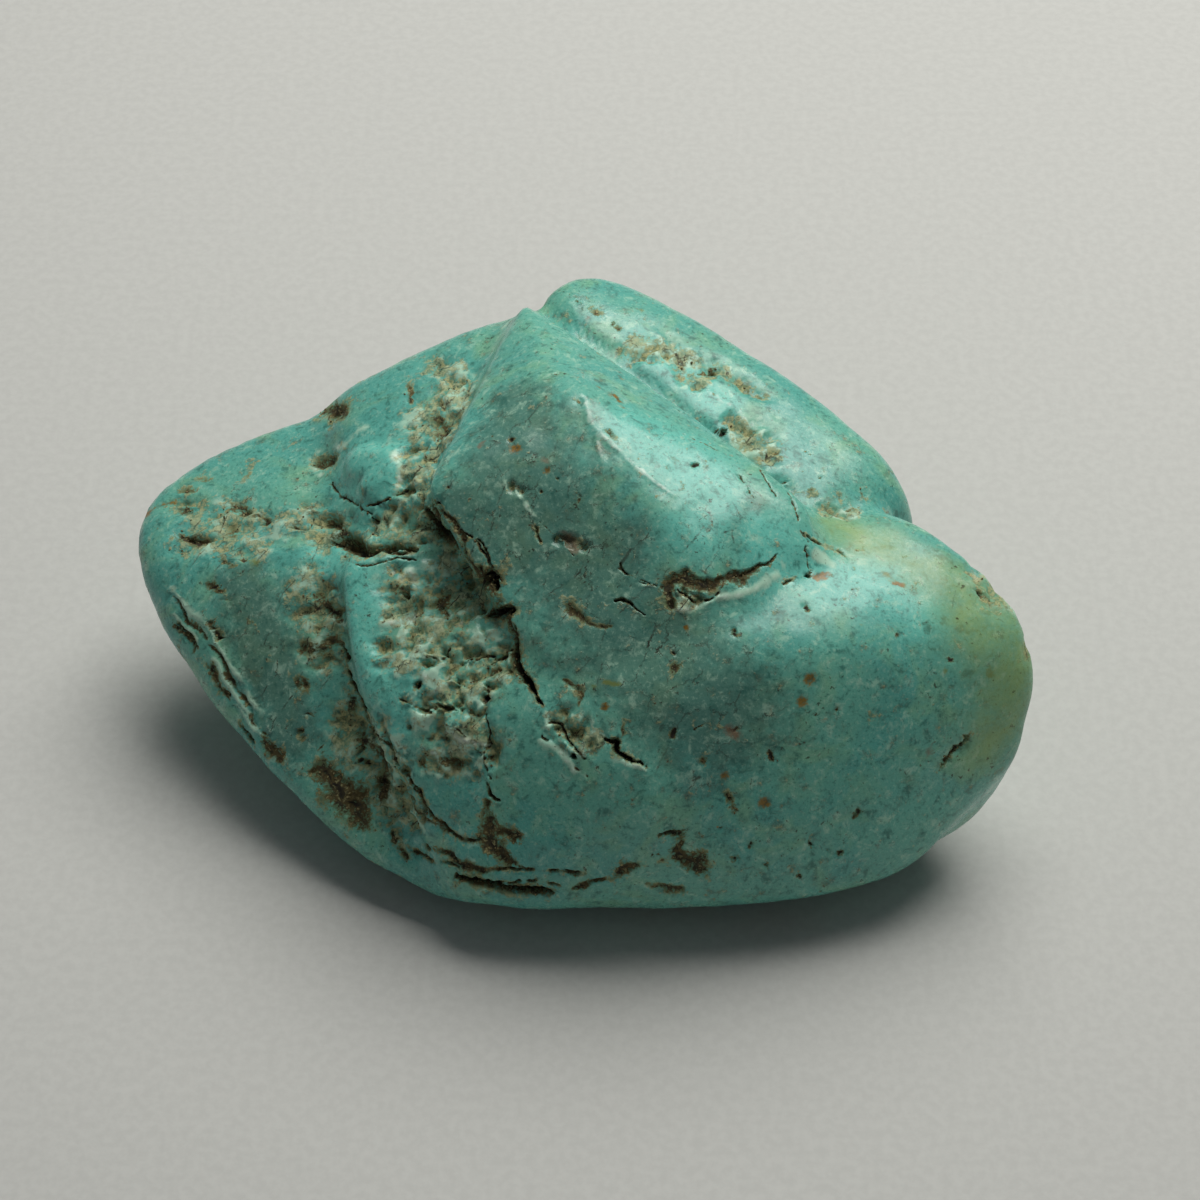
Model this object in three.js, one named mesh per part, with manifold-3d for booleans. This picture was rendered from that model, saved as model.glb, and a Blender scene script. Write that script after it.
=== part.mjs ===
// A raw turquoise nugget: one piece of natural stone, worn smooth all over, that rests on a flat underneath.
// Millimetres, +Z up. The origin is on the surface it rests on, under the middle of the stone.
// X runs along the stone from the blunt nose at the left to the rounded shoulder at the right, and +Y is its back.
//
// The stone is a group of convex lobes grown together. Each lobe is the hull of a few corner points with its
// edges worn round, and a fillet runs along each seam where a lobe joins the ones before it.
import * as THREE from "three";
import { ConvexHull } from "three/addons/math/ConvexHull.js";
import { mergeVertices } from "three/addons/utils/BufferGeometryUtils.js";
import Module from "manifold-3d";

const heart = new THREE.Vector3(0.4, -0.4, 9); // every part of the surface is in plain sight of this point
const geodesicDetail = 20; // the stone is a geodesic sphere of 20 * (detail + 1)^2 triangles, drawn in to its surface
const startRadius = 45; // a sphere that clears the whole stone
const marchSteps = 70;
const marchShare = 0.85; // share of the field's value taken at each step, so that a step never passes the surface
const closeEnough = 0.0005;
const belowFloor = -1.6; // lobes that carry the stone reach this far down, and are then cut flat at the floor
const floorCut = { width: 80, depth: 60, height: 6 };

// round: how far an edge's wear reaches; fillet: the width of the seam to the lobes before it.
const lobes = [
  {
    name: "body", // front face, shoulder and right tip
    round: 0.6,
    fillet: 0,
    corners: [
      [1.4, -6.8, 16.4], [-1.6, -6.3, 15.9], [-2.6, -7.4, 15.2], // where it runs up under the block
      [11.8, -0.3, 16.5], [16.4, 1, 16], [19.6, -1.2, 16], [11.5, -5.8, 17.3], // flat top of the shoulder
      [11.4, -9.5, 16.3], [3.5, -11.5, 14.8], [21.1, -7.3, 14], // its rounded brow
      [22.9, -4, 14.5], [24.8, -7.2, 11], [24.4, -8.2, 8.5], [22.1, -8.7, 9.5], // right tip
      [-4.6, -13, 9], [2.5, -15.1, 9.8], [14.5, -12.6, 10.8], // bulge of the front face
      [-6.2, -15.6, 4], [2.5, -16.1, 3.2], [11.8, -16, 3.2], [17.9, -14.2, 3.5], [21.2, -10.2, 5], // lower edge
      [-6.5, 2.6, 2], [13.4, 4.6, 1], [16.4, -1.4, 1], // inside, towards the back
      [-6.5, -8.4, belowFloor], [1.4, -10.9, belowFloor], [13.4, -8.4, belowFloor],
    ],
  },
  {
    name: "block", // raised block with the peak
    round: 0.2,
    fillet: 2.4,
    corners: [
      [0.5, 2.4, 22.3], [3.7, -2.9, 20.8], // peak, and the end of the ridge that runs down from it
      [-2, 5.9, 21.4], [-2.6, 12, 20.1], [5.2, 5, 19.6], // top facet, narrowing to the back
      [-7.5, -1.6, 19.3], [-6.9, -1.9, 18.7], // left corner
      [11.9, -1.8, 18.6], [12, -3.7, 17.6], [8, -4.4, 19.2], // right corner
      [6.2, -6.6, 18.4], [6.5, -7.3, 16.9], [2.5, -6.7, 17], [-0.6, -8.1, 14.8], [-3.6, -6.7, 15.6], // foot
      [1.4, 10.6, 6], [-4.5, 6.6, 4], [11.4, 0.6, 8],
    ],
  },
  {
    name: "backRidge", // long rounded ridge behind the block
    round: 0.7,
    fillet: 1,
    corners: [
      [-0.4, 15.7, 19.8], [2.1, 16.3, 19.6], [7.5, 12.7, 18.5], [14.8, 7.1, 17.2], [17.8, 4.2, 15.5], // crest
      [18.9, 2.8, 12.8], [7.9, 9.7, 18.5], [-2, 14.3, 20.1], [-1.7, 13, 20.5], // and its end, against the block
      [1.2, 11.2, 18.7], [5.9, 6.9, 18], [10, 2.6, 17.3], [13, -0.8, 16.6], // floor of the valley in front of it
      [1.4, 15.1, 9], [13.4, 10.6, 7], [17.4, 4.6, 5], [1.4, 11.6, 3], [7.5, 11.6, 4], [15.4, 0.6, 2], // back
      [11.4, 5.6, belowFloor], [1.4, 6.6, belowFloor],
    ],
  },
  {
    name: "saddle", // rough slope between the block and the nose
    round: 0.7,
    fillet: 1.8,
    corners: [
      [-13.6, 10.9, 15.5], [-9.8, 12.4, 17], [-6.1, 12.6, 18], [-2, 13, 19.5], // back edge
      [-2.6, 11.4, 19.6], [-4.8, 6.1, 19], [-6.9, 1.2, 18.1], // along the block
      [-7.5, -0.9, 16.9], [-5.8, -2.7, 15.2], [-11.8, 2.1, 15], // front edge
      [-12.6, 9.6, 6], [-2.5, 12.6, 7], [-8.6, 5.6, 1], [-10.6, 0.6, 1], [-2.5, 6.6, belowFloor],
    ],
  },
  {
    name: "backFill", // plain back between the saddle and the ridge
    round: 1,
    fillet: 2.5,
    corners: [
      [-6.5, 9.6, 15], [-2.5, 12.1, 15], [5.5, 13.1, 15], [9.4, 10.6, 13], [1.4, 4.6, 15],
      [-1.6, 12.6, 7], [6.5, 11.6, 5], [-6.5, 6.6, 6], [1.4, 6.6, 1],
    ],
  },
  {
    name: "nose", // blunt left end, and the slope below it
    round: 0.7,
    fillet: 1.6,
    corners: [
      [-25.2, 4.1, 9.5], [-24.9, 7.8, 10], [-24.3, 2.9, 7.3], [-23.4, 0.6, 6.2], // tip
      [-21.9, 9.9, 11.2], [-15.9, 11.3, 13.2], [-11.2, 11.2, 15], // back edge of its top
      [-6.5, 1.7, 15.3], [-9, -2.1, 14.6], [-12.1, -1.8, 14], [-17.6, -2.4, 10.5], // front edge of its top
      [-11.6, -5.5, 10.7], [-7.4, -12.1, 5.6], // down beside the flank
      [-21.3, -2.6, 5.5], [-17.6, -8, 4.5], [-11.6, -13.1, 3], [-6.2, -15.4, 2.8], // lower edge
      [-22.6, 4.1, 5.8], [-20.6, 6.6, 5], [-14.6, 8.6, 3], [-15.6, 1.6, 2], [-10.6, -3.4, 0.5], // underneath
      [-8.6, 2.6, belowFloor], [-7.5, -7.4, belowFloor],
    ],
  },
  {
    name: "flank", // front-left lobe, with a crisp crest over the nose's slope
    round: 0.5,
    fillet: 1.4,
    corners: [
      [-10.6, -0.3, 15.1], [-12.4, -1.4, 14.8], [-11.9, -5.9, 12.6], [-11, -9.5, 10.4], // crest
      [-9.2, -11.6, 7.8], [-7.5, -13.6, 5], [-6.2, -15.3, 3.4],
      [-4.2, -4.3, 14.6], [-2.3, -9.2, 13.1], [-0.1, -12.5, 12.5], [3.5, -13.8, 11.2], // lip along the body
      [-6.1, -10.1, 12.5], [4, -15.3, 7], [-0.7, -15.8, 3.5],
      [-2.5, 0.6, 2], [-4.5, -5.4, belowFloor], [-6.5, -2.4, belowFloor], [-0.6, -8.4, belowFloor],
    ],
  },
  {
    name: "keel", // thin layer under the nose
    round: 0.6,
    fillet: 1.4,
    corners: [
      [-23.9, 5.1, 5.8], [-23.9, 4.1, 5], [-22.1, 0.5, 4.5], [-18.4, -4.3, 3.5],
      [-14.6, 4.6, 1], [-16.6, 1.6, 1.5], [-8.6, -4.4, belowFloor], [-10.6, 4.6, belowFloor],
    ],
  },
  {
    name: "heel", // thin layer under the right tip
    round: 0.6,
    fillet: 1.4,
    corners: [
      [22.9, -9, 6.8], [23.1, -9.2, 4.8], [21.8, -9.8, 2.8], [17.1, -12.1, 2],
      [15.4, 0.6, 5], [13.4, -1.4, belowFloor], [15.4, -7.4, belowFloor], [11.4, -9.4, belowFloor],
    ],
  },
  {
    name: "core", // fills the middle, where the other lobes only touch
    round: 1.2,
    fillet: 3,
    corners: [
      [-10.6, 3.6, 11], [11.4, 3.6, 11], [1.4, -7.4, 12], [1.4, 7.6, 13],
      [-14, 1, 3], [-11, 7, 4], [4, 11, 4], [15, 3, 4], [18, -7, 3], [12, -13, 3], [-5, -14, 3], [-14, -6, 3],
      [-8.5, -1, belowFloor], [-6, 4.5, belowFloor], [3, 6.6, belowFloor], [11, 3, belowFloor],
      [13.5, -4.5, belowFloor], [9.5, -9.5, belowFloor], [-3.5, -10, belowFloor], [-8, -5.5, belowFloor],
    ],
  },
];

// The planes of a lobe's hull, each once: { normal, constant }, with the constant the plane's distance from the origin.
function facePlanes(corners) {
  const hull = new ConvexHull().setFromPoints(corners.map((c) => new THREE.Vector3(...c)));
  const planes = [];
  for (const { normal, constant } of hull.faces) {
    const known = planes.some((p) => p.normal.dot(normal) > 1 - 1e-6 && Math.abs(p.constant - constant) < 1e-4);
    if (!known) planes.push({ normal: normal.clone(), constant });
  }
  return planes;
}

// Height above a lobe's surface. The planes are mixed with a soft maximum, which rounds the edges between them.
function aboveLobe(point, { planes, round }) {
  const heights = planes.map((p) => p.normal.dot(point) - p.constant);
  const highest = Math.max(...heights);
  const sum = heights.reduce((total, h) => total + Math.exp((h - highest) / round), 0);
  return highest + round * (Math.log(sum) - 1);
}

// The lesser of two heights, with a fillet where they are nearly equal.
function filletedMin(a, b, width) {
  const near = Math.max(width - Math.abs(a - b), 0) / width;
  return Math.min(a, b) - (near * near * width) / 4;
}

function aboveStone(point, grown) {
  return grown.reduce((height, lobe, i) => {
    const own = aboveLobe(point, lobe);
    return i === 0 ? own : filletedMin(height, own, lobe.fillet);
  }, 0);
}

// The point of the stone's surface that lies in a direction from its heart, reached from outside.
function surfacePoint(direction, grown) {
  const point = new THREE.Vector3();
  let radius = startRadius;
  for (let step = 0; step < marchSteps; step += 1) {
    point.copy(direction).multiplyScalar(radius).add(heart);
    const height = aboveStone(point, grown);
    radius -= height * marchShare;
    if (Math.abs(height) < closeEnough) break;
  }
  return point.copy(direction).multiplyScalar(radius).add(heart);
}

function weld(geometry) {
  geometry.deleteAttribute("normal");
  geometry.deleteAttribute("uv");
  return mergeVertices(geometry, 1e-5);
}

function roughForm() {
  const grown = lobes.map((lobe) => ({ ...lobe, planes: facePlanes(lobe.corners) }));
  const geometry = weld(new THREE.IcosahedronGeometry(1, geodesicDetail));
  const place = geometry.attributes.position;
  const direction = new THREE.Vector3();
  for (let i = 0; i < place.count; i += 1) {
    direction.fromBufferAttribute(place, i).normalize();
    const { x, y, z } = surfacePoint(direction, grown);
    place.setXYZ(i, x, y, z);
  }
  return geometry;
}

const wasm = await Module();
wasm.setup();

function solidOf(geometry) {
  const vertProperties = new Float32Array(geometry.attributes.position.array);
  const triVerts = new Uint32Array(geometry.index.array);
  return new wasm.Manifold(new wasm.Mesh({ numProp: 3, vertProperties, triVerts }));
}

function geometryOf(solid) {
  const { vertProperties, triVerts } = solid.getMesh();
  return new THREE.BufferGeometry()
    .setAttribute("position", new THREE.BufferAttribute(vertProperties, 3))
    .setIndex(new THREE.BufferAttribute(triVerts, 1));
}

// Everything below the floor is cut away, which leaves the flat that the stone rests on.
function restingForm() {
  const floor = new THREE.BoxGeometry(floorCut.width, floorCut.depth, floorCut.height);
  floor.translate(0, 0, -floorCut.height / 2);
  return geometryOf(solidOf(roughForm()).subtract(solidOf(weld(floor))));
}

function turquoise() {
  return new THREE.MeshStandardMaterial({ color: 0x5fa79b, roughness: 0.42, metalness: 0 });
}

function nugget() {
  const geometry = restingForm();
  geometry.computeVertexNormals();
  const mesh = new THREE.Mesh(geometry, turquoise());
  mesh.name = "turquoise_nugget";
  return mesh;
}

const stone = new THREE.Group();
stone.add(nugget());
export default stone;
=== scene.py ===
import itertools
import math
import random

import bmesh
import bpy
import numpy as np
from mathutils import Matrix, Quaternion, Vector, noise
from mathutils.bvhtree import BVHTree


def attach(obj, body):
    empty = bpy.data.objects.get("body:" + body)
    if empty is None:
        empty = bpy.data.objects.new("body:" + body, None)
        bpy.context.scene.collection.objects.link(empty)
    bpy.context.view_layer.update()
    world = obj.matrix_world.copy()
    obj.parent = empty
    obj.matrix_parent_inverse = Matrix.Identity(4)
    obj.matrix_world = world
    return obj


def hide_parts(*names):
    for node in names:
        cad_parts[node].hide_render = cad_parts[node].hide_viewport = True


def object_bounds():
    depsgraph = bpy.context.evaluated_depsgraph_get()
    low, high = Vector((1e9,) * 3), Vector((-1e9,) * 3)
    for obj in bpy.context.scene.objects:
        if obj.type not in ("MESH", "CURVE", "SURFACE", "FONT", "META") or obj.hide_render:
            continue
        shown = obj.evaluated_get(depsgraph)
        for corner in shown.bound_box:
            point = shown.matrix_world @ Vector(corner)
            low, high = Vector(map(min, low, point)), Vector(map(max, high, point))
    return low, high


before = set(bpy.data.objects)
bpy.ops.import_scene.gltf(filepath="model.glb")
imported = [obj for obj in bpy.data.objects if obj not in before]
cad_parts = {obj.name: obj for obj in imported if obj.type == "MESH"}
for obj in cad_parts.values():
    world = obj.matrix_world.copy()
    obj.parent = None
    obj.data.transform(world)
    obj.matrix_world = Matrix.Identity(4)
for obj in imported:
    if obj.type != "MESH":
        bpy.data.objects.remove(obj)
cadLow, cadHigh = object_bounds()  # the CAD model's box, metres

# Shapes are worked out in millimetres, in the frame of the CAD model, and made metres when a mesh is built.
metre = 0.001
boxLow, boxHigh = np.array(cadLow) / metre, np.array(cadHigh) / metre

# The camera looks down on the front of the stone. Marks on its display side are placed as seen from there.
display = {
    "aim": (1.45, -1.4, 11),
    "distance": 176,
    "azimuth": 0,
    "elevation": 45,
    "lens": 100,
    "sensor": 36,
}

stoneMesh = {
    "rows": 66,  # the ground mesh is a geodesic sphere of 20 * rows^2 triangles, drawn in to the surface
    "quickRows": 40,
    "coarseRows": 36,  # the mesh that marks are placed on
    "crowding": 0.35,  # how much closer together its points are on the display side
    "heart": (0.4, -0.4, 9),  # a point that every part of the surface can be seen from
    "marchSteps": 46,
    "marchShare": 0.85,  # share of the height that each step takes
    "marchBlock": 8192,  # points marched together, few enough for the processor's cache
    "fineReach": (0.2, 0.05),  # the mesh is split once, and again, within these distances of narrow marks
    "fineKinds": (
        "crack", "hair", "cleft", "hole", "speck", "seam", "groove", "step", "vein", "fold", "lamina",
    ),
}

belowFloor = -1.6  # lobes that carry the stone reach this far down, and are then cut flat at the floor

# Convex lobes grown together, each the hull of its corners. round: how far an edge's wear reaches;
# fillet: the width of the seam to the lobes before it.
lobes = {
    "body": {"round": 0.6, "fillet": 0, "corners": [  # front face, shoulder and right tip
        [1.4, -6.8, 16.4], [-1.6, -6.3, 15.9], [-2.6, -7.4, 15.2],  # where it runs up under the block
        [11.8, -0.3, 16.5], [16.4, 1, 16], [19.6, -1.2, 16], [11.5, -5.8, 17.3],  # flat top of the shoulder
        [11.4, -9.5, 16.3], [3.5, -11.5, 14.8], [21.1, -7.3, 14],  # its rounded brow
        [22.9, -4, 14.5], [24.8, -7.2, 11], [24.4, -8.2, 8.5], [22.1, -8.7, 9.5],  # right tip
        [-4.6, -13, 9], [2.5, -15.1, 9.8], [14.5, -12.6, 10.8],  # bulge of the front face
        # lower edge
        [-6.2, -15.6, 4], [2.5, -16.1, 3.2], [11.8, -16, 3.2], [17.9, -14.2, 3.5], [21.2, -10.2, 5],
        [-6.5, 2.6, 2], [13.4, 4.6, 1], [16.4, -1.4, 1],  # inside, towards the back
        [-6.5, -8.4, belowFloor], [1.4, -10.9, belowFloor], [13.4, -8.4, belowFloor],
    ]},
    "block": {"round": 0.2, "fillet": 2.4, "corners": [  # raised block with the peak
        [0.5, 2.4, 22.3], [3.7, -2.9, 20.8],  # peak, and the end of the ridge that runs down from it
        [-2, 5.9, 21.4], [-2.6, 12, 20.1], [5.2, 5, 19.6],  # top facet, and its edge over the valley
        [-7.5, -1.6, 19.3], [-6.9, -1.9, 18.7],  # left corner
        [11.9, -1.8, 18.6], [12, -3.7, 17.6], [8, -4.4, 19.2],  # right corner
        [6.2, -6.6, 18.4], [6.5, -7.3, 16.9], [2.5, -6.7, 17], [-0.6, -8.1, 14.8], [-3.6, -6.7, 15.6],  # foot
        [1.4, 10.6, 6], [-4.5, 6.6, 4], [11.4, 0.6, 8],
    ]},
    "backRidge": {"round": 0.7, "fillet": 1, "corners": [  # long rounded ridge behind the block
        # crest
        [-0.4, 15.7, 19.8], [2.1, 16.3, 19.6], [7.5, 12.7, 18.5], [14.8, 7.1, 17.2], [17.8, 4.2, 15.5],
        # and its end, against the block
        [18.9, 2.8, 12.8], [7.9, 9.7, 18.5], [-2, 14.3, 20.1], [-1.7, 13, 20.5],
        # floor of the valley in front of it
        [1.2, 11.2, 18.7], [5.9, 6.9, 18], [10, 2.6, 17.3], [13, -0.8, 16.6],
        # back
        [1.4, 15.1, 9], [13.4, 10.6, 7], [17.4, 4.6, 5], [1.4, 11.6, 3], [7.5, 11.6, 4], [15.4, 0.6, 2],
        [11.4, 5.6, belowFloor], [1.4, 6.6, belowFloor],
    ]},
    "saddle": {"round": 0.7, "fillet": 1.8, "corners": [  # rough slope between the block and the nose
        [-13.6, 10.9, 15.5], [-9.8, 12.4, 17], [-6.1, 12.6, 18], [-2, 13, 19.5],  # back edge
        [-2.6, 11.4, 19.6], [-4.8, 6.1, 19], [-6.9, 1.2, 18.1],  # along the block
        [-7.5, -0.9, 16.9], [-5.8, -2.7, 15.2], [-11.8, 2.1, 15],  # front edge
        [-12.6, 9.6, 6], [-2.5, 12.6, 7], [-8.6, 5.6, 1], [-10.6, 0.6, 1], [-2.5, 6.6, belowFloor],
    ]},
    "backFill": {"round": 1, "fillet": 2.5, "corners": [  # plain back between the saddle and the ridge
        [-6.5, 9.6, 15], [-2.5, 12.1, 15], [5.5, 13.1, 15], [9.4, 10.6, 13], [1.4, 4.6, 15],
        [-1.6, 12.6, 7], [6.5, 11.6, 5], [-6.5, 6.6, 6], [1.4, 6.6, 1],
    ]},
    "nose": {"round": 0.7, "fillet": 1.6, "corners": [  # blunt left end, and the slope below it
        [-25.2, 4.1, 9.5], [-24.9, 7.8, 10], [-24.3, 2.9, 7.3], [-23.4, 0.6, 6.2],  # tip
        [-21.9, 9.9, 11.2], [-15.9, 11.3, 13.2], [-11.2, 11.2, 15],  # back edge of its top
        [-6.5, 1.7, 15.3], [-9, -2.1, 14.6], [-12.1, -1.8, 14], [-17.6, -2.4, 10.5],  # front edge of its top
        [-11.6, -5.5, 10.7], [-7.4, -12.1, 5.6],  # down beside the flank
        [-21.3, -2.6, 5.5], [-17.6, -8, 4.5], [-11.6, -13.1, 3], [-6.2, -15.4, 2.8],  # lower edge
        # underneath
        [-22.6, 4.1, 5.8], [-20.6, 6.6, 5], [-14.6, 8.6, 3], [-15.6, 1.6, 2], [-10.6, -3.4, 0.5],
        [-8.6, 2.6, belowFloor], [-7.5, -7.4, belowFloor],
    ]},
    "flank": {"round": 0.5, "fillet": 1.4, "corners": [  # front-left lobe, crisp where it crosses the nose
        [-10.6, -0.3, 15.1], [-12.4, -1.4, 14.8], [-11.9, -5.9, 12.6], [-11, -9.5, 10.4],  # crest
        [-9.2, -11.6, 7.8], [-7.5, -13.6, 5], [-6.2, -15.3, 3.4],
        [-4.2, -4.3, 14.6], [-2.3, -9.2, 13.1], [-0.1, -12.5, 12.5], [3.5, -13.8, 11.2],  # lip along the body
        [-6.1, -10.1, 12.5], [4, -15.3, 7], [-0.7, -15.8, 3.5],
        [-2.5, 0.6, 2], [-4.5, -5.4, belowFloor], [-6.5, -2.4, belowFloor], [-0.6, -8.4, belowFloor],
    ]},
    "keel": {"round": 0.6, "fillet": 1.4, "corners": [  # thin layer under the nose
        [-23.9, 5.1, 5.8], [-23.9, 4.1, 5], [-22.1, 0.5, 4.5], [-18.4, -4.3, 3.5],
        [-14.6, 4.6, 1], [-16.6, 1.6, 1.5], [-8.6, -4.4, belowFloor], [-10.6, 4.6, belowFloor],
    ]},
    "heel": {"round": 0.6, "fillet": 1.4, "corners": [  # thin layer under the right tip
        [22.9, -9, 6.8], [23.1, -9.2, 4.8], [21.8, -9.8, 2.8], [17.1, -12.1, 2],
        [15.4, 0.6, 5], [13.4, -1.4, belowFloor], [15.4, -7.4, belowFloor], [11.4, -9.4, belowFloor],
    ]},
    "core": {"round": 1.2, "fillet": 3, "corners": [  # fills the middle, where the other lobes only touch
        [-10.6, 3.6, 11], [11.4, 3.6, 11], [1.4, -7.4, 12], [1.4, 7.6, 13],
        [-14, 1, 3], [-11, 7, 4], [4, 11, 4], [15, 3, 4],
        [18, -7, 3], [12, -13, 3], [-5, -14, 3], [-14, -6, 3],
        [-8.5, -1, belowFloor], [-6, 4.5, belowFloor], [3, 6.6, belowFloor], [11, 3, belowFloor],
        [13.5, -4.5, belowFloor], [9.5, -9.5, belowFloor], [-3.5, -10, belowFloor], [-8, -5.5, belowFloor],
    ]},
}


def facePlanes(corners):  # the planes of a hull: every three corners that have all the others behind them
    c = np.array(corners, float)
    i, j, k = np.array(list(itertools.combinations(range(len(c)), 3))).T
    normal = np.cross(c[j] - c[i], c[k] - c[i])
    size = np.linalg.norm(normal, axis=1)
    i, normal = i[size > 1e-6], normal[size > 1e-6] / size[size > 1e-6, None]
    height = normal @ c.T - (normal * c[i]).sum(1)[:, None]
    flip = height.min(1) > -1e-6
    outer = flip | (height.max(1) < 1e-6)
    normal = np.where(flip[:, None], -normal, normal)[outer]
    offset = (normal * c[i[outer]]).sum(1)
    planes = np.unique(np.round(np.column_stack([normal, offset]), 5), axis=0)
    return planes[:, :3].astype(np.float32), planes[:, 3].astype(np.float32)


def aboveLobe(points, planes, wear):  # a soft maximum over the planes rounds the edges between them
    height = points @ planes[0].T - planes[1]
    highest = height.max(1)
    return highest + wear * (np.log(np.exp((height - highest[:, None]) / wear).sum(1)) - 1)


def aboveStone(points, grown):
    height = None
    for planes, wear, fillet in grown:
        own = aboveLobe(points, planes, wear)
        if height is None:
            height = own
        else:
            near = np.maximum(fillet - np.abs(height - own), 0) / fillet
            height = np.minimum(height, own) - near * near * fillet / 4
    return height


def grownLobes():
    return [
        (facePlanes(lobe["corners"]), lobe["round"], max(lobe["fillet"], 0.01))
        for lobe in lobes.values()
    ]


def directionTo(view):  # azimuth 0 is in front of the stone, 90 at its right
    azimuth, elevation = math.radians(view["azimuth"]), math.radians(view["elevation"])
    level = math.cos(elevation)
    return np.array([math.sin(azimuth) * level, -math.cos(azimuth) * level, math.sin(elevation)])


def viewDirections():  # right, up and towards the viewer, for the display side
    azimuth = math.radians(display["azimuth"])
    right = np.array([math.cos(azimuth), math.sin(azimuth), 0])
    back = directionTo(display)
    return right, np.cross(back, right), back


def unit(vectors):
    return vectors / np.linalg.norm(vectors, axis=-1, keepdims=True)


def geodesic(rows):  # directions spread evenly over a sphere, and the triangles between them
    bm = bmesh.new()
    bmesh.ops.create_icosphere(bm, subdivisions=1, radius=1)
    corners = np.array([[v.co[:] for v in face.verts] for face in bm.faces])
    bm.free()
    ij = [(i, j) for i in range(rows + 1) for j in range(rows + 1 - i)]
    number = {place: n for n, place in enumerate(ij)}
    share = np.array([(rows - i - j, i, j) for i, j in ij]) / rows
    up = [(number[i, j], number[i + 1, j], number[i, j + 1]) for i, j in ij if i + j < rows]
    down = [(number[i + 1, j], number[i + 1, j + 1], number[i, j + 1]) for i, j in ij if i + j < rows - 1]
    points = np.einsum("pk,fkx->fpx", share, corners).reshape(-1, 3)
    faces = (np.arange(len(corners))[:, None, None] * len(ij) + np.array(up + down)).reshape(-1, 3)
    _, first, same = np.unique(np.round(points, 6), axis=0, return_index=True, return_inverse=True)
    return unit(points[first]), same.reshape(-1)[faces]


def drawIn(directions, grown):  # the surface point in each direction from the heart; the foot is flat
    heart = np.array(stoneMesh["heart"], np.float32)
    d = directions.astype(np.float32)
    slope = np.maximum(np.abs(d), 1e-6)
    radius = (np.abs(np.where(d > 0, boxHigh, boxLow) - heart) / slope).min(1).astype(np.float32)
    floor = np.where(d[:, 2] < 0, heart[2] / slope[:, 2], np.inf)
    for start in range(0, len(d), stoneMesh["marchBlock"]):
        block = slice(start, start + stoneMesh["marchBlock"])
        for _ in range(stoneMesh["marchSteps"]):
            height = aboveStone(heart + d[block] * radius[block, None], grown)
            radius[block] -= height * stoneMesh["marchShare"]
    radius = np.minimum(radius, floor)
    return (heart + d * radius[:, None]).astype(float)


def seat(points):  # brings the stone exactly to the CAD model's box
    ownLow, ownHigh = points.min(0), points.max(0)
    return boxLow + (points - ownLow) * (boxHigh - boxLow) / (ownHigh - ownLow)


def vertexNormals(points, faces):
    a, b, c = (points[faces[:, k]] for k in range(3))
    across = np.cross(b - a, c - a)
    total = np.zeros_like(points)
    for axis in range(3):
        for k in range(3):
            total[:, axis] += np.bincount(faces[:, k], across[:, axis], len(points))
    return unit(total)


def treeOf(points, faces):
    return BVHTree.FromPolygons(points.tolist(), faces.tolist())


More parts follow.
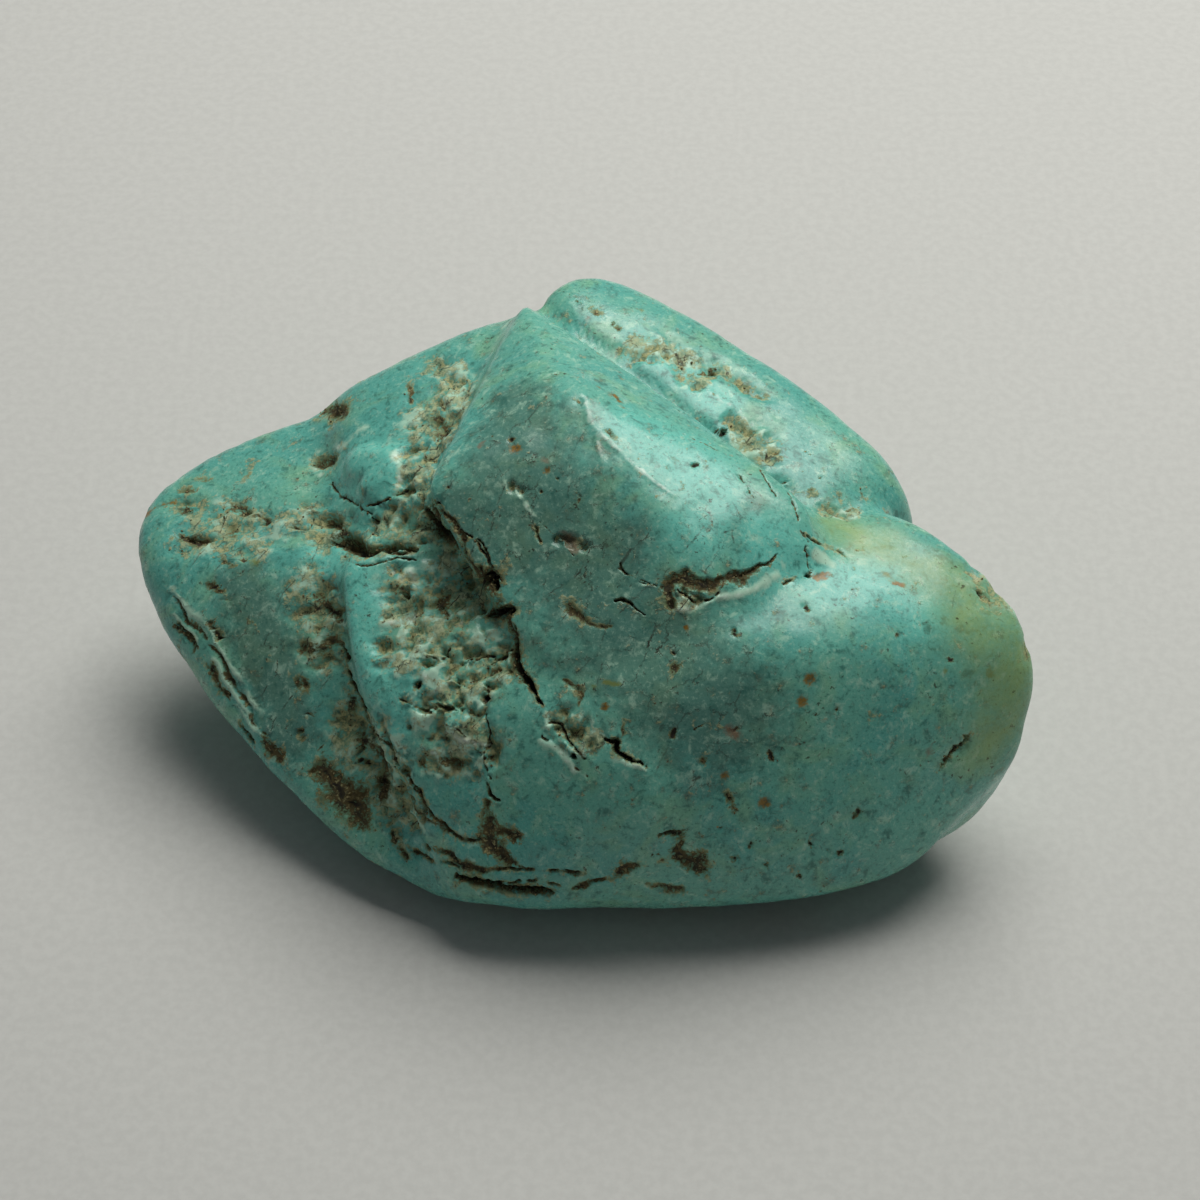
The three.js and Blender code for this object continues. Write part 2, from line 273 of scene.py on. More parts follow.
# Marks. sink: depth, below zero for a raised mark; soft: where between its line and its edge a mark begins
# to rise; ragged: how far its edge wanders. The other values are attributes of the surface, each with the
# share of the mark's half width that it takes up.
markKinds = {
    "crack": {"sink": 0.32, "soft": 0.1, "ragged": 0.25, "dark": 0.5, "matrix": 0.95},
    "hair": {"sink": 0.12, "soft": 0, "ragged": 0.25, "dark": 0.3, "matrix": 0.75},
    "cleft": {"sink": 1.1, "soft": 0.2, "ragged": 0.5, "dark": 0.7, "matrix": 1.3, "tan": 1.9},
    "bowl": {"sink": 0.75, "soft": 0.15, "ragged": 0.6, "dark": 0.22, "matrix": 0.9, "tan": 1.4},
    "seam": {"sink": 0.3, "soft": 0.1, "ragged": 0.4, "dark": 0.35, "matrix": 1.1, "tan": 1.8},
    "step": {"sink": 0.14, "soft": 0.5, "ragged": 1.2, "dark": 0.12, "matrix": 0.95},
    "groove": {"sink": 0.26, "soft": 0.05, "ragged": 0.6, "dark": 0.15, "matrix": 0.8, "tan": 1.3},
    "pit": {"sink": 0.36, "soft": 0.2, "ragged": 0.8, "dark": 0.2, "matrix": 0.85, "tan": 1.4},
    "hole": {"sink": 0.6, "soft": 0.5, "ragged": 0.2, "dark": 0.9, "matrix": 1.2},
    "speck": {"sink": 0.12, "soft": 0.2, "ragged": 0.6, "dark": 0.55, "matrix": 0.9},
    "patch": {"sink": 0.14, "soft": 0.2, "ragged": 1.0, "dark": 0.1, "matrix": 0.85, "tan": 1.3},
    "vein": {"sink": 0.16, "soft": 0.3, "ragged": 1.2, "dark": 0.1, "matrix": 1.0, "tan": 1.2},
    "tan": {"sink": 0.05, "soft": 0.2, "ragged": 1.2, "tan": 1.0, "rough": 1.2},
    "iron": {"sink": 0.04, "soft": 0.3, "ragged": 0.5, "iron": 0.9},
    "ochre": {"sink": 0, "soft": 0.3, "ragged": 0.6, "ochre": 0.9},
    "pinkStain": {"sink": 0.03, "soft": 0.3, "ragged": 0.8, "pink": 0.9},
    "rim": {"sink": 0.06, "soft": 0.3, "ragged": 0.5, "pink": 1.0, "matrix": 0.6},
    "green": {"sink": 0, "soft": 0.2, "ragged": 1.0, "green": 1.0},
    "pale": {"sink": -0.03, "soft": 0.1, "ragged": 0.8, "pale": 0.9},
    # gleam: raised rim lines painted pale and white as a highlight
    "gleam": {"sink": -0.07, "soft": 0, "ragged": 0.6, "pale": 1.1, "glint": 0.5},
    "fold": {"sink": -0.1, "soft": 0, "ragged": 0.6, "pale": 0.6},
    "lamina": {"sink": 0.14, "soft": 0, "ragged": 0.8, "matrix": 0.75},
    # ridge: a soft raised crease with a painted highlight along it
    "ridge": {"sink": -0.06, "soft": 0, "ragged": 0.1, "glint": 0.45},
    "swell": {"sink": -0.32, "soft": 0.3, "ragged": 0.4},
    "rough": {"sink": 0.03, "soft": 0, "ragged": 1.2, "rough": 1.0, "tan": 0.8},
    # clear: painted light, a brighter turquoise laid where the surface should catch more light
    "clear": {"sink": 0, "soft": 0, "ragged": 1.0, "clear": 1.0},
    # smoky: painted shade, a darker and greyer colour on faces turned away from the light
    "smokyPaintedShade": {"sink": 0, "soft": 0, "ragged": 1.5, "smoke": 1.0},
}
shapings = ("sink", "soft", "ragged")
colourings = sorted({name for form in markKinds.values() for name in form} - set(shapings))

# Each mark is a line of points (across, up, half width) on a plane through the aim that faces the viewer.
displayMarks = {
    "crack": [
        [(-13.5, 2.3, 0.06), (-12.8, 1.9, 0.08), (-12.3, 1.8, 0.08), (-11.6, 2, 0.07), (-10.5, 2.3, 0.06),
         (-9.6, 2.1, 0.05)],
        [(-14.3, 6.2, 0.07), (-14, 5.8, 0.07), (-13.5, 5.4, 0.06), (-12.8, 5, 0.07), (-12.3, 4.7, 0.06),
         (-11.9, 4.1, 0.05)], [(-12.3, 5, 0.06), (-11.2, 5.4, 0.07), (-10.2, 6, 0.06)],
        [(-7.7, 4, 0.06), (-6.9, 3.4, 0.07), (-6.2, 2.7, 0.08), (-5.7, 1.7, 0.07), (-5.5, 1.1, 0.08)],
        [(-9.7, -3.1, 0.06), (-8.9, -2.9, 0.07), (-8.5, -3.1, 0.07), (-7.9, -2.5, 0.06)],
        [(-7.3, -3.3, 0.06), (-6.5, -3, 0.08), (-5.7, -2.9, 0.08)],
        [(-5.8, -3.3, 0.06), (-5.3, -2.9, 0.08), (-4.7, -2.5, 0.06)],
        [(-6.1, -6, 0.05), (-5.9, -7, 0.06), (-6.2, -8.3, 0.06), (-5.8, -9.5, 0.07)],
        [(-6, -9.7, 0.08), (-5.8, -10.3, 0.15), (-5.3, -10.6, 0.08)],
        [(-12.7, -7.8, 0.08), (-12.4, -7.5, 0.08)], [(-12.8, -8.5, 0.08), (-12.3, -8.7, 0.08)],
        [(-10, -10, 0.08), (-9.6, -10.2, 0.09)],
        [(0.7, 0, 0.08), (1.3, 0, 0.14), (1.8, -0.3, 0.06), (2.4, -0.7, 0.04)],
        [(4.1, 0.5, 0.09), (4.6, 0.2, 0.08), (5, -0.2, 0.08)],
        [(5.6, 0, 0.07), (6, 0.1, 0.07), (6.3, 0.3, 0.06)],
        [(-2.8, -6.5, 0.08), (-2.2, -6.6, 0.1), (-1.8, -7.4, 0.08), (-1.4, -7.9, 0.08), (-0.8, -8.4, 0.07)],
        [(-3.1, -7.2, 0.07), (-2.8, -7.4, 0.06)],
        [(-8, 4.5, 0.04), (-7, 3.5, 0.05), (-6.2, 3, 0.07), (-5.8, 2.1, 0.08), (-5.2, 1, 0.06)],
        [(1, 1.9, 0.07), (1.3, 1.5, 0.08), (2, 1.2, 0.04), (3, 0.7, 0.04)],
        [(10.8, 3.6, 0.05), (10.9, 2.6, 0.06), (11, 1.9, 0.06), (11.1, 1.3, 0.07)],
    ],
    "hair": [
        [(-8.4, -6.6, 0.07), (-7.7, -6.7, 0.07), (-7.1, -7.2, 0.07)],
        [(-6.8, -7.6, 0.07), (-6.4, -8.1, 0.07)], [(-15.5, -6, 0.08), (-15.1, -6.2, 0.08)],
        [(-15.7, -6.6, 0.05), (-15, -7.5, 0.05), (-14.6, -8.2, 0.05)],
        [(-4.8, -14, 0.05), (-3.8, -14.2, 0.07), (-2.8, -14.3, 0.05)],
        [(2.1, -13.1, 0.05), (2.7, -13.4, 0.05), (3.2, -13.5, 0.05)],
        [(1, 1.7, 0.05), (1.3, 1.5, 0.08), (1.9, 1.1, 0.05), (2.8, 0.7, 0.05)],
        [(6.5, 0.6, 0.07), (6.7, 1, 0.07)], [(-1.3, -8.9, 0.08), (-0.7, -9.3, 0.07)],
        [(5, -6.8, 0.05), (5.5, -6.5, 0.05)], [(-3.2, 4.1, 0.04), (-2.2, 3.3, 0.05), (-1.4, 2.3, 0.04)],
        [(-1.7, 16.3, 0.07), (-1.3, 16, 0.08), (-0.9, 15.5, 0.07)],
        [(7.3, 6.7, 0.05), (7.6, 6.2, 0.05), (7.8, 5.7, 0.05)],
        [(4.4, 8.9, 0.04), (5.1, 8.5, 0.05), (6.3, 7.9, 0.04)],
        [(4.2, 10.1, 0.05), (5.6, 9.3, 0.05), (6.4, 8.7, 0.07)],
        [(8.5, 6.9, 0.08), (8.9, 6.2, 0.07), (9.3, 5.5, 0.05)], [(7.4, 6.7, 0.07), (7.9, 5.7, 0.05)],
        [(9.6, 6.5, 0.05), (10.2, 5.2, 0.08), (10.6, 3.8, 0.07), (11, 3.1, 0.07)],
        [(10.9, 7.9, 0.05), (11.4, 7.2, 0.05), (11.8, 6.4, 0.05)], [(21.4, -8.2, 0.08), (21.5, -8.6, 0.08)],
    ],
    "cleft": [
        [(-9.4, 4.9, 0.18), (-8.6, 3.8, 0.39), (-7.9, 3.2, 0.39), (-7.3, 2.3, 0.11)],
        [(-9, 5.3, 0.09), (-8.4, 4.9, 0.08)], [(-6.3, 0.8, 0.27), (-5.7, 1.3, 0.39), (-5.5, 0.7, 0.18)],
        [(-5.8, -0.8, 0.18), (-5.2, -0.6, 0.3), (-4.7, -0.5, 0.21)],
        [(-4.5, -1.4, 0.09), (-4.5, -2.3, 0.22), (-4.4, -3.3, 0.23), (-4, -4.1, 0.21), (-3.4, -5, 0.1),
         (-3, -5.6, 0.06)],
        [(-7.6, -14.7, 0.16), (-6.4, -14.9, 0.21), (-4.9, -15.2, 0.23), (-3.6, -15.4, 0.25),
         (-2.7, -15.5, 0.18)],
        [(0.2, -7.3, 0.07), (0.9, -7.6, 0.14), (1, -8.1, 0.14), (1.7, -8.4, 0.1), (2.4, -8.9, 0.06)],
    ],
    "bowl": [
        [(-14.1, 3.3, 0.35), (-13.1, 2.9, 0.46), (-12.3, 2.6, 0.46), (-11.6, 2.7, 0.32), (-10.5, 2.9, 0.18),
         (-9.8, 2.6, 0.11)],
    ],
    "seam": [
        [(-13.6, -2.3, 0.08), (-13.3, -3.8, 0.09), (-12.7, -5.2, 0.11), (-12.3, -6.5, 0.12),
         (-11.8, -7.2, 0.11), (-11.1, -8.2, 0.11), (-10.8, -9, 0.11), (-10.2, -9.4, 0.11),
         (-9.6, -10.2, 0.12), (-8.8, -11.4, 0.11), (-8.1, -12.1, 0.11), (-7.3, -12.6, 0.13),
         (-6.2, -12.8, 0.11)],
    ],
    "step": [
        [(3.3, 0.5, 0.35), (4, 1.1, 0.46), (5.3, 0.8, 0.4), (6.4, 0.9, 0.32), (7.3, 1.1, 0.24),
         (8.2, 1.6, 0.24), (9.2, 2, 0.16), (9.4, 2.4, 0.09)],
    ],
    "groove": [
        [(-22.4, 5.6, 0.12), (-22.1, 5.2, 0.16), (-22, 4.7, 0.12)], [(-21.8, 5.9, 0.19), (-21, 6.5, 0.22)],
        [(-22.6, 3.6, 0.12), (-21.7, 3.3, 0.26), (-20.7, 3.1, 0.15)],
        [(-18.7, 4.8, 0.18), (-18, 4.4, 0.16), (-17.4, 3.9, 0.11)],
        [(-15.8, 5.1, 0.16), (-15.2, 4.7, 0.13)], [(-16.4, 4, 0.18), (-16, 3.8, 0.12)],
        [(-20.8, 1.3, 0.13), (-20.2, 0.6, 0.13), (-19.7, 0, 0.11)],
        [(-18.9, 2.5, 0.09), (-19.4, 1.9, 0.08), (-20.6, 2.3, 0.08), (-21.1, 2.2, 0.07)],
        [(-11.3, 2.5, 0.13), (-10.1, 2.6, 0.11)],
        [(-10.5, -5.4, 0.09), (-9.8, -5.7, 0.15), (-9, -5.9, 0.09)],
        [(-8.6, -5.5, 0.13), (-8, -5.7, 0.2), (-7.4, -5.7, 0.12)], [(-6.1, -4.4, 0.12), (-6, -4.9, 0.12)],
        [(-7.4, -4.5, 0.11), (-7.9, -4.2, 0.08)], [(-15.8, -6.9, 0.22), (-15.8, -7.3, 0.19)],
        [(-22.3, -1.1, 0.13), (-21.8, -1.8, 0.15), (-20.9, -3, 0.16)],
        [(-19, -6.6, 0.18), (-18.6, -7.3, 0.2), (-18.4, -7.6, 0.11)],
        [(-11.1, -12.2, 0.12), (-10.8, -13, 0.19), (-10.2, -13.6, 0.19)],
        [(-11, -12.4, 0.09), (-9.8, -13.4, 0.12), (-8.7, -13.8, 0.12), (-7.6, -14.1, 0.11)],
        [(-5.5, -14.2, 0.09), (-3.8, -14.3, 0.11), (-2.5, -14.3, 0.09), (-0.9, -14.4, 0.11)],
        [(-7.6, -14.7, 0.09), (-6.1, -14.9, 0.11), (-3.8, -14.9, 0.11), (-2.2, -15.1, 0.08)],
        [(7.3, 1.2, 0.13), (8, 1.5, 0.16), (8.5, 1.9, 0.13)], [(-3.4, 3.8, 0.09), (-3.1, 3, 0.11)],
        [(10.8, 3.6, 0.07), (11.4, 3.1, 0.08), (12.3, 2.8, 0.12), (13, 2.3, 0.09), (13.5, 1.6, 0.05)],
        [(9.7, 0.9, 0.08), (10.3, 1.2, 0.08)],
        [(17.8, -9.3, 0.08), (18.6, -8.2, 0.15), (19.3, -7.5, 0.16), (19.7, -6.9, 0.09)],
    ],
    "pit": [
        [(-19.5, 5, 0.35), (-18.8, 4.9, 0.27)], [(-19.7, 4.1, 0.27), (-19.3, 3.7, 0.24)],
        [(-14.5, 4.5, 0.27), (-13.9, 4.2, 0.27), (-13.3, 3.4, 0.19)],
        [(-15, 7.3, 0.32), (-14.2, 7.3, 0.35)], [(-8.4, 9.3, 0.27), (-8.1, 8.9, 0.19)],
        [(-11.3, -0.9, 0.18)], [(-6.1, -4.7, 0.27), (-6.2, -5.2, 0.22)],
        [(-5.8, -3.8, 0.19), (-5.4, -3.6, 0.13)], [(-10, -6.7, 0.18)], [(-20.1, -1.9, 0.16)],
        [(12.1, 4.9, 0.13)],
    ],
    "hole": [
        [(-9.7, -4.5, 0.18)], [(-6.1, -5.1, 0.16)], [(-1.4, -8.3, 0.15)], [(6.1, 12.2, 0.12)],
        [(6.5, 8.9, 0.18)], [(11, 1.3, 0.12)],
    ],
    "speck": [
        [(7.2, -1.6, 0.16)], [(3.8, -2.8, 0.11)], [(3.2, -3.6, 0.09)], [(7.3, -6.9, 0.18)],
        [(4, -6.9, 0.16), (3.9, -7.4, 0.12)], [(8, -12.9, 0.19)], [(7.1, -13.8, 0.19)], [(8.8, -14, 0.18)],
        [(10.6, -14.6, 0.19)], [(8.9, -7.9, 0.13), (9.2, -8.3, 0.16)], [(-2.2, -12.8, 0.11)],
        [(-4.7, 8.6, 0.19)], [(-1.2, 5.6, 0.16), (-1.2, 5.2, 0.12)], [(-3, 5.7, 0.12)], [(-2.2, 6.4, 0.12)],
        [(-4.1, 6.4, 0.09)], [(-5.7, 8.7, 0.09)], [(-8.1, 6, 0.12)], [(-2.4, 12, 0.11)], [(5.1, 7.2, 0.13)],
        [(5, 7.2, 0.16)], [(19.7, 0.8, 0.11), (20.4, 0.4, 0.11)], [(10.9, -0.4, 0.15)], [(7.2, -1.7, 0.18)],
        [(15.7, -1.7, 0.15)], [(12.5, -5.8, 0.15)], [(13.4, -11.5, 0.18), (13.7, -11.2, 0.16)],
        [(7.9, -13, 0.16)], [(11.9, -13.2, 0.16)], [(12.7, -13.4, 0.19)], [(11.1, -13, 0.15)],
        [(10.6, -14.6, 0.18)],
        [(19.7, 0.8, 0.12), (20.2, 0.5, 0.11), (20.8, 0.1, 0.08)], [(11.4, -6.1, 0.09)],
        [(18.5, -1.2, 0.09)], [(18.6, -3.3, 0.12)], [(6.4, -12, 0.11)],
    ],
    "patch": [
        [(-18.4, 6.5, 0.2), (-18.2, 7.2, 0.23)], [(-9.1, 9.8, 0.24), (-7.8, 9.3, 0.19), (-8.7, 8.7, 0.3)],
        [(-10.1, 11.9, 0.18), (-10, 10.7, 0.18)],
        [(-14.7, 10, 0.38), (-13.9, 10, 0.48), (-13.5, 9.8, 0.24)], [(-8.4, -0.2, 0.32), (-7.9, 0.3, 0.22)],
        [(-10.2, 0.5, 0.22), (-10.1, 0.2, 0.16)], [(-5.8, -8.5, 0.3)],
        [(-8.3, -8.6, 0.24), (-7.4, -8.6, 0.27)], [(-9.2, -8.7, 0.24)],
        [(-13.1, -5.4, 0.32), (-13, -6, 0.22)],
        [(-12.7, -7.2, 0.35), (-11.9, -7.9, 0.32), (-11.6, -8.7, 0.27), (-11.3, -9.7, 0.22)],
        [(-10.2, -10.3, 0.19), (-9.9, -11.1, 0.22), (-8.3, -12.2, 0.22)],
        [(-15.7, -2.5, 0.4), (-14.9, -2.6, 0.4), (-14, -2.2, 0.32)],
        [(-15.1, 0.3, 0.35), (-14.3, -0.4, 0.32), (-13.8, -1.1, 0.22)],
        [(-16.4, -6.5, 0.16), (-15.8, -6.2, 0.11)], [(-20.7, -1.3, 0.27), (-20.2, -1.7, 0.19)],
        [(-18.6, -1.1, 0.19), (-18.4, -1.4, 0.13)], [(-17.4, -3.3, 0.19)],
        [(-20.9, -3.3, 0.24), (-20.1, -4.5, 0.27), (-19.7, -4.9, 0.13)],
        [(2.3, -14.9, 0.08), (3.2, -15.2, 0.19), (4, -15.4, 0.24), (4.6, -15.6, 0.08)],
        [(3.2, -13.8, 0.16)], [(-1.6, -0.4, 0.38), (-1, -0.8, 0.32), (-0.2, -1.2, 0.13), (0.5, -1.4, 0.07)],
        [(3.8, -3.7, 0.3), (4.4, -3.2, 0.12)], [(-1.6, -4.4, 0.16), (-1.2, -4.9, 0.19), (-1.4, -5.4, 0.13)],
        [(1.3, -6.6, 0.16), (1.1, -7.2, 0.16)], [(6.4, -6.7, 0.12)], [(5.5, -8.6, 0.27)],
        [(6.7, -10.5, 0.16), (7, -10.9, 0.18), (7, -11.4, 0.12)], [(0.6, 9, 0.19), (0.8, 8.8, 0.19)],
        [(-1.3, 10.6, 0.16)], [(-6.9, 5.3, 0.15)], [(-0.3, 15.4, 0.2), (0, 15.2, 0.18)],
        [(0.6, 14.7, 0.16), (0.9, 14.3, 0.13)], [(5.4, 12.1, 0.22), (6.1, 12.4, 0.16)],
        [(7.6, 11.4, 0.13), (8.7, 11, 0.11)], [(10.7, 6.1, 0.11), (11.2, 5.8, 0.13), (11.6, 5.5, 0.09)],
        [(12.6, 5.6, 0.16), (13, 5, 0.19), (13.5, 4.9, 0.16)], [(13.8, 5.7, 0.18), (14.2, 5.4, 0.16)],
        [(14.3, -6.2, 0.19)],
    ],
    "vein": [
        [(-9.3, 5, 0.19), (-8.8, 4.6, 0.27), (-8.5, 4.1, 0.19)],
        [(-7.3, 2.5, 0.16), (-6.6, 1.9, 0.27), (-6.1, 1.1, 0.3)],
        [(-8.7, 4.8, 0.19), (-7.6, 3.8, 0.27), (-7.2, 2.7, 0.22)],
        [(-6.2, 1.9, 0.19), (-5.8, 1, 0.24), (-4.6, -2, 0.3), (-4.5, -2.8, 0.22)],
        [(-8.4, 0, 0.35), (-8, -0.5, 0.24)], [(-10.3, 0.6, 0.24), (-10.1, 0.3, 0.16)],
        [(-5.8, -10.8, 0.27), (-5.9, -11.5, 0.35), (-5.8, -12.2, 0.59), (-5.6, -12.8, 0.59),
         (-5.3, -13.4, 0.46), (-4.8, -13.9, 0.27)], [(-4.9, -12.2, 0.4), (-4.5, -12.6, 0.3)],
        [(-11.8, -9.7, 0.3), (-11.5, -10.5, 0.35)],
        [(-14.6, -9.2, 0.54), (-14, -10, 0.75), (-13.1, -10.8, 0.78), (-12.4, -11.8, 0.4)],
        [(-15.2, -8.9, 0.16), (-14.6, -9.2, 0.32)], [(-16.1, -4.5, 0.3), (-15.7, -4.5, 0.32)],
        [(-17.9, -7.2, 0.22), (-17.3, -7.9, 0.35), (-16.7, -8.5, 0.22)],
        [(-9.2, -13.1, 0.22), (-8.3, -13.4, 0.24), (-7.4, -13.9, 0.3), (-6.4, -14.1, 0.27),
         (-5.3, -14.2, 0.13)], [(-1.7, -14.4, 0.13), (-0.7, -14.4, 0.11)],
        [(1.7, -13.9, 0.3), (1.1, -14.3, 0.35), (0.7, -14.7, 0.22), (-0.2, -15, 0.2), (-1.3, -15.2, 0.19)],
        [(3.3, -12.4, 0.16), (4, -12.3, 0.3), (4.6, -12.3, 0.19)],
        [(4.1, -12.8, 0.24), (4, -13.5, 0.4), (5, -13.9, 0.46), (5.6, -14.2, 0.32)],
        [(3.4, 0.6, 0.3), (3.4, -0.1, 0.35), (3.8, -0.5, 0.19)], [(4.2, 1.3, 0.27), (4.6, 1.5, 0.19)],
        [(5.2, 1, 0.24), (6, 0.6, 0.3), (6.4, 1, 0.22)],
    ],
    "tan": [
        [(-19.5, 3.7, 0.81), (-18.3, 3.8, 0.74)],
        [(-22, 4.9, 0.67), (-20.7, 4.2, 0.81), (-19.4, 3.8, 1.08), (-18, 3.6, 0.81)],
        [(-15.6, 0.9, 0.81), (-15, -0.2, 0.94), (-14.8, -2.4, 0.94)],
        [(-13.2, -6.7, 0.67), (-12.4, -8.3, 1.08), (-11.9, -9.6, 1.08)],
        [(-10, 6, 0.4), (-10.1, 5.4, 0.35)], [(-8.5, 9.5, 0.74), (-9, 8.1, 0.67), (-9.7, 6.8, 0.61)],
        [(-11.2, 4.2, 0.54), (-9.8, 3.8, 0.74)],
        [(-8.8, 12.6, 0.54), (-7.6, 11.6, 0.74), (-7.2, 10.4, 0.54)], [(-14.3, 9.9, 0.46)],
        [(-7.7, 1.9, 0.81), (-7.3, 0.3, 0.67), (-8.2, -0.6, 0.61)],
        [(-7.2, 1.8, 0.81), (-6.5, 0, 0.67), (-8.2, 0, 0.81)], [(-10.8, -2.3, 0.94), (-8.9, -2.7, 0.81)],
        [(-9.3, -3.2, 0.35), (-8.5, -3.3, 0.35), (-6.5, -3.7, 0.67)],
        [(-7.3, -4.4, 0.67), (-6, -3.7, 0.74), (-5.2, -3.4, 0.48)],
        [(-7.9, -6, 0.46), (-7.2, -7.2, 0.54), (-6.4, -8.1, 0.4)],
        [(-13.8, -7.2, 0.4), (-13.1, -7.9, 0.48), (-12.3, -9.1, 0.54), (-11.6, -10, 0.46)],
        [(-10.3, -10.7, 0.48), (-9.6, -11.4, 0.54), (-10.2, -11.9, 0.4)], [(4.4, 0, 0.4), (5, -0.1, 0.3)],
        [(-2, -6.8, 0.46), (-1.2, -7.2, 0.46), (-0.1, -7.5, 0.32)], [(-4.9, 6, 0.27), (-4.3, 5.8, 0.24)],
        [(-2, 3, 0.19), (-1.4, 3.1, 0.24), (-1, 2.7, 0.19)],
        [(4.5, 11.8, 0.4), (5.4, 12.1, 0.54), (6.1, 12.4, 0.4), (6.9, 11.9, 0.32), (7.8, 11.3, 0.32),
         (8.8, 10.9, 0.22)], [(5, 11.6, 0.24), (5.7, 11.5, 0.27)],
        [(11.8, 4.7, 0.27), (12.8, 4.6, 0.32), (13.7, 4.8, 0.24)],
    ],
    "iron": [
        [(-24, 4.6, 0.22), (-23.2, 5, 0.19), (-22.4, 5.5, 0.16)], [(4.5, -1.4, 0.18)], [(0.3, -5.7, 0.24)],
        [(6.6, -9.4, 0.28)], [(8.7, -10.8, 0.35)], [(11.1, -4.2, 0.35)], [(10.6, -5.4, 0.31)],
        [(-4.5, 8, 0.3)], [(-2.9, 6.9, 0.24)], [(0, 11.3, 0.19)], [(0.8, 10.9, 0.15), (1.3, 10.1, 0.16)],
        [(9.4, 7.9, 0.15)], [(11.4, 1.2, 0.22), (12, 1.3, 0.22)], [(15.5, 1, 0.15), (16, 0.9, 0.16)],
    ],
    "ochre": [
        [(-18.3, 2.1, 0.4)], [(-0.3, -4.6, 0.11), (0.5, -4.4, 0.16), (1.1, -4.3, 0.11)],
        [(2.1, 15.3, 0.18)], [(14.7, 1.5, 0.12), (15.4, 1.1, 0.18), (16.5, 0.7, 0.12)], [(20.7, -3.8, 0.3)],
        [(18.3, -4, 0.2)], [(13.8, -1.1, 0.18)],
    ],
    "pinkStain": [
        [(-2.9, 7.4, 0.22)], [(-6.4, 8.2, 0.19), (-6.2, 8.5, 0.12)], [(-1.7, 3.3, 0.3), (-1.4, 2.6, 0.27)],
        [(-0.6, 14.8, 0.18)], [(-0.5, 14, 0.2), (-0.2, 14.1, 0.13)], [(17.5, -8, 0.3)],
    ],
    "rim": [[(6.9, -6.9, 0.3), (7.2, -7.2, 0.3)]],
    "green": [
        [(16.6, 2, 1.21), (18, 1.2, 1.62), (19.3, -0.1, 2.02), (20.1, -1.7, 2.02)],
        [(20.9, -1.2, 2.02), (21.7, -2.7, 2.56), (22.1, -4.4, 2.56), (21.5, -6, 2.29), (20.6, -7.4, 1.62)],
        [(12.8, 3.7, 1.48), (15, 2.9, 1.48)],
    ],
    # Pale stone on the back ridge and valley, standing also for the ridge's painted sheen.
    "pale": [
        [(7.5, 8.3, 0.67), (8.5, 7.7, 0.61)], [(1.9, 13.5, 0.54), (3.5, 13.2, 0.61), (5, 12.6, 0.47)],
        [(11.5, 2.3, 0.4), (12.3, 1.9, 0.35)],
    ],
    # Painted highlights: pale and white lines along the bump's rim, the flank crest and the block's edges.
    "gleam": [
        [(-15.5, 7.7, 0.13), (-15.3, 7.2, 0.13), (-14.8, 6.7, 0.13)],
        [(-15, 8, 0.12), (-13.7, 8.1, 0.13), (-12.9, 8.8, 0.19), (-12.4, 9.2, 0.22)],
        [(-10.9, 7.7, 0.19), (-10.5, 6.8, 0.16), (-10.8, 6, 0.13)],
        [(-11.4, -1.2, 0.22), (-10.2, -0.9, 0.27), (-9.7, -0.6, 0.19)],
        [(-10.5, 1.1, 0.24), (-10, 1.7, 0.22), (-9.7, 0.9, 0.19)],
        [(-9.8, -4, 0.16), (-8.5, -4.4, 0.16), (-9.4, -5.3, 0.11)],
        [(-8.5, -6.5, 0.22), (-7.6, -7.3, 0.27), (-6.2, -7.6, 0.22)],
        [(-8.9, -8.1, 0.16), (-8.1, -8.9, 0.19), (-6.9, -9.3, 0.16)],
        [(-9.9, -3.9, 0.13), (-9, -3.9, 0.13), (-8.5, -4.3, 0.11)],
        [(1.3, 1.3, 0.07), (1.9, 1, 0.08), (2.8, 0.6, 0.08)],
        [(4, -0.5, 0.16), (5, -0.4, 0.16), (6, -0.1, 0.13), (7.1, 0.3, 0.19), (8.4, 0.8, 0.22),
         (9.4, 1.3, 0.19)],
        [(-3.2, -7.4, 0.16), (-2.2, -7.9, 0.16), (-1.6, -8.7, 0.15), (-0.9, -9.3, 0.11)],
        [(0.7, -8.4, 0.13), (1.7, -8.7, 0.13), (2.4, -9.1, 0.08)],
        [(-4.3, 5.6, 0.12), (-3.9, 5, 0.12), (-3.5, 4.5, 0.09)],
    ],
    "fold": [
        [(-22.8, 0.8, 0.13), (-22, -0.3, 0.26), (-21.2, -1, 0.26), (-20.3, -2, 0.24), (-19.7, -3.3, 0.24),
         (-18.9, -4.2, 0.24), (-18.4, -5.4, 0.23), (-17.7, -6.3, 0.15), (-17.2, -7.1, 0.07)],
        [(-22.6, -0.5, 0.12), (-21.8, -1.5, 0.24), (-21, -2.6, 0.24), (-20, -3.8, 0.24), (-19.3, -5, 0.24),
         (-18.4, -6.3, 0.23), (-17.6, -7.6, 0.16), (-16.7, -8.5, 0.07)],
        [(-19.3, -5.4, 0.11), (-18.5, -6.5, 0.18), (-17.7, -7.5, 0.18), (-17, -8.3, 0.08)],
    ],
    "lamina": [
        [(-22.6, 0.1, 0.09), (-21.8, -0.9, 0.19), (-21.1, -1.7, 0.12), (-20.1, -3, 0.19), (-19.6, -4, 0.19),
         (-18.8, -5.2, 0.19), (-18.2, -6.3, 0.12), (-17.5, -7.1, 0.06)],
        [(-22.7, -0.9, 0.09), (-21.9, -2, 0.2), (-21.1, -3.2, 0.12), (-20.2, -4.4, 0.13),
         (-19.5, -5.6, 0.06)],
        [(-18.9, -5.4, 0.08), (-18.2, -6.5, 0.15), (-17.4, -7.4, 0.12), (-16.8, -8, 0.07)],
    ],
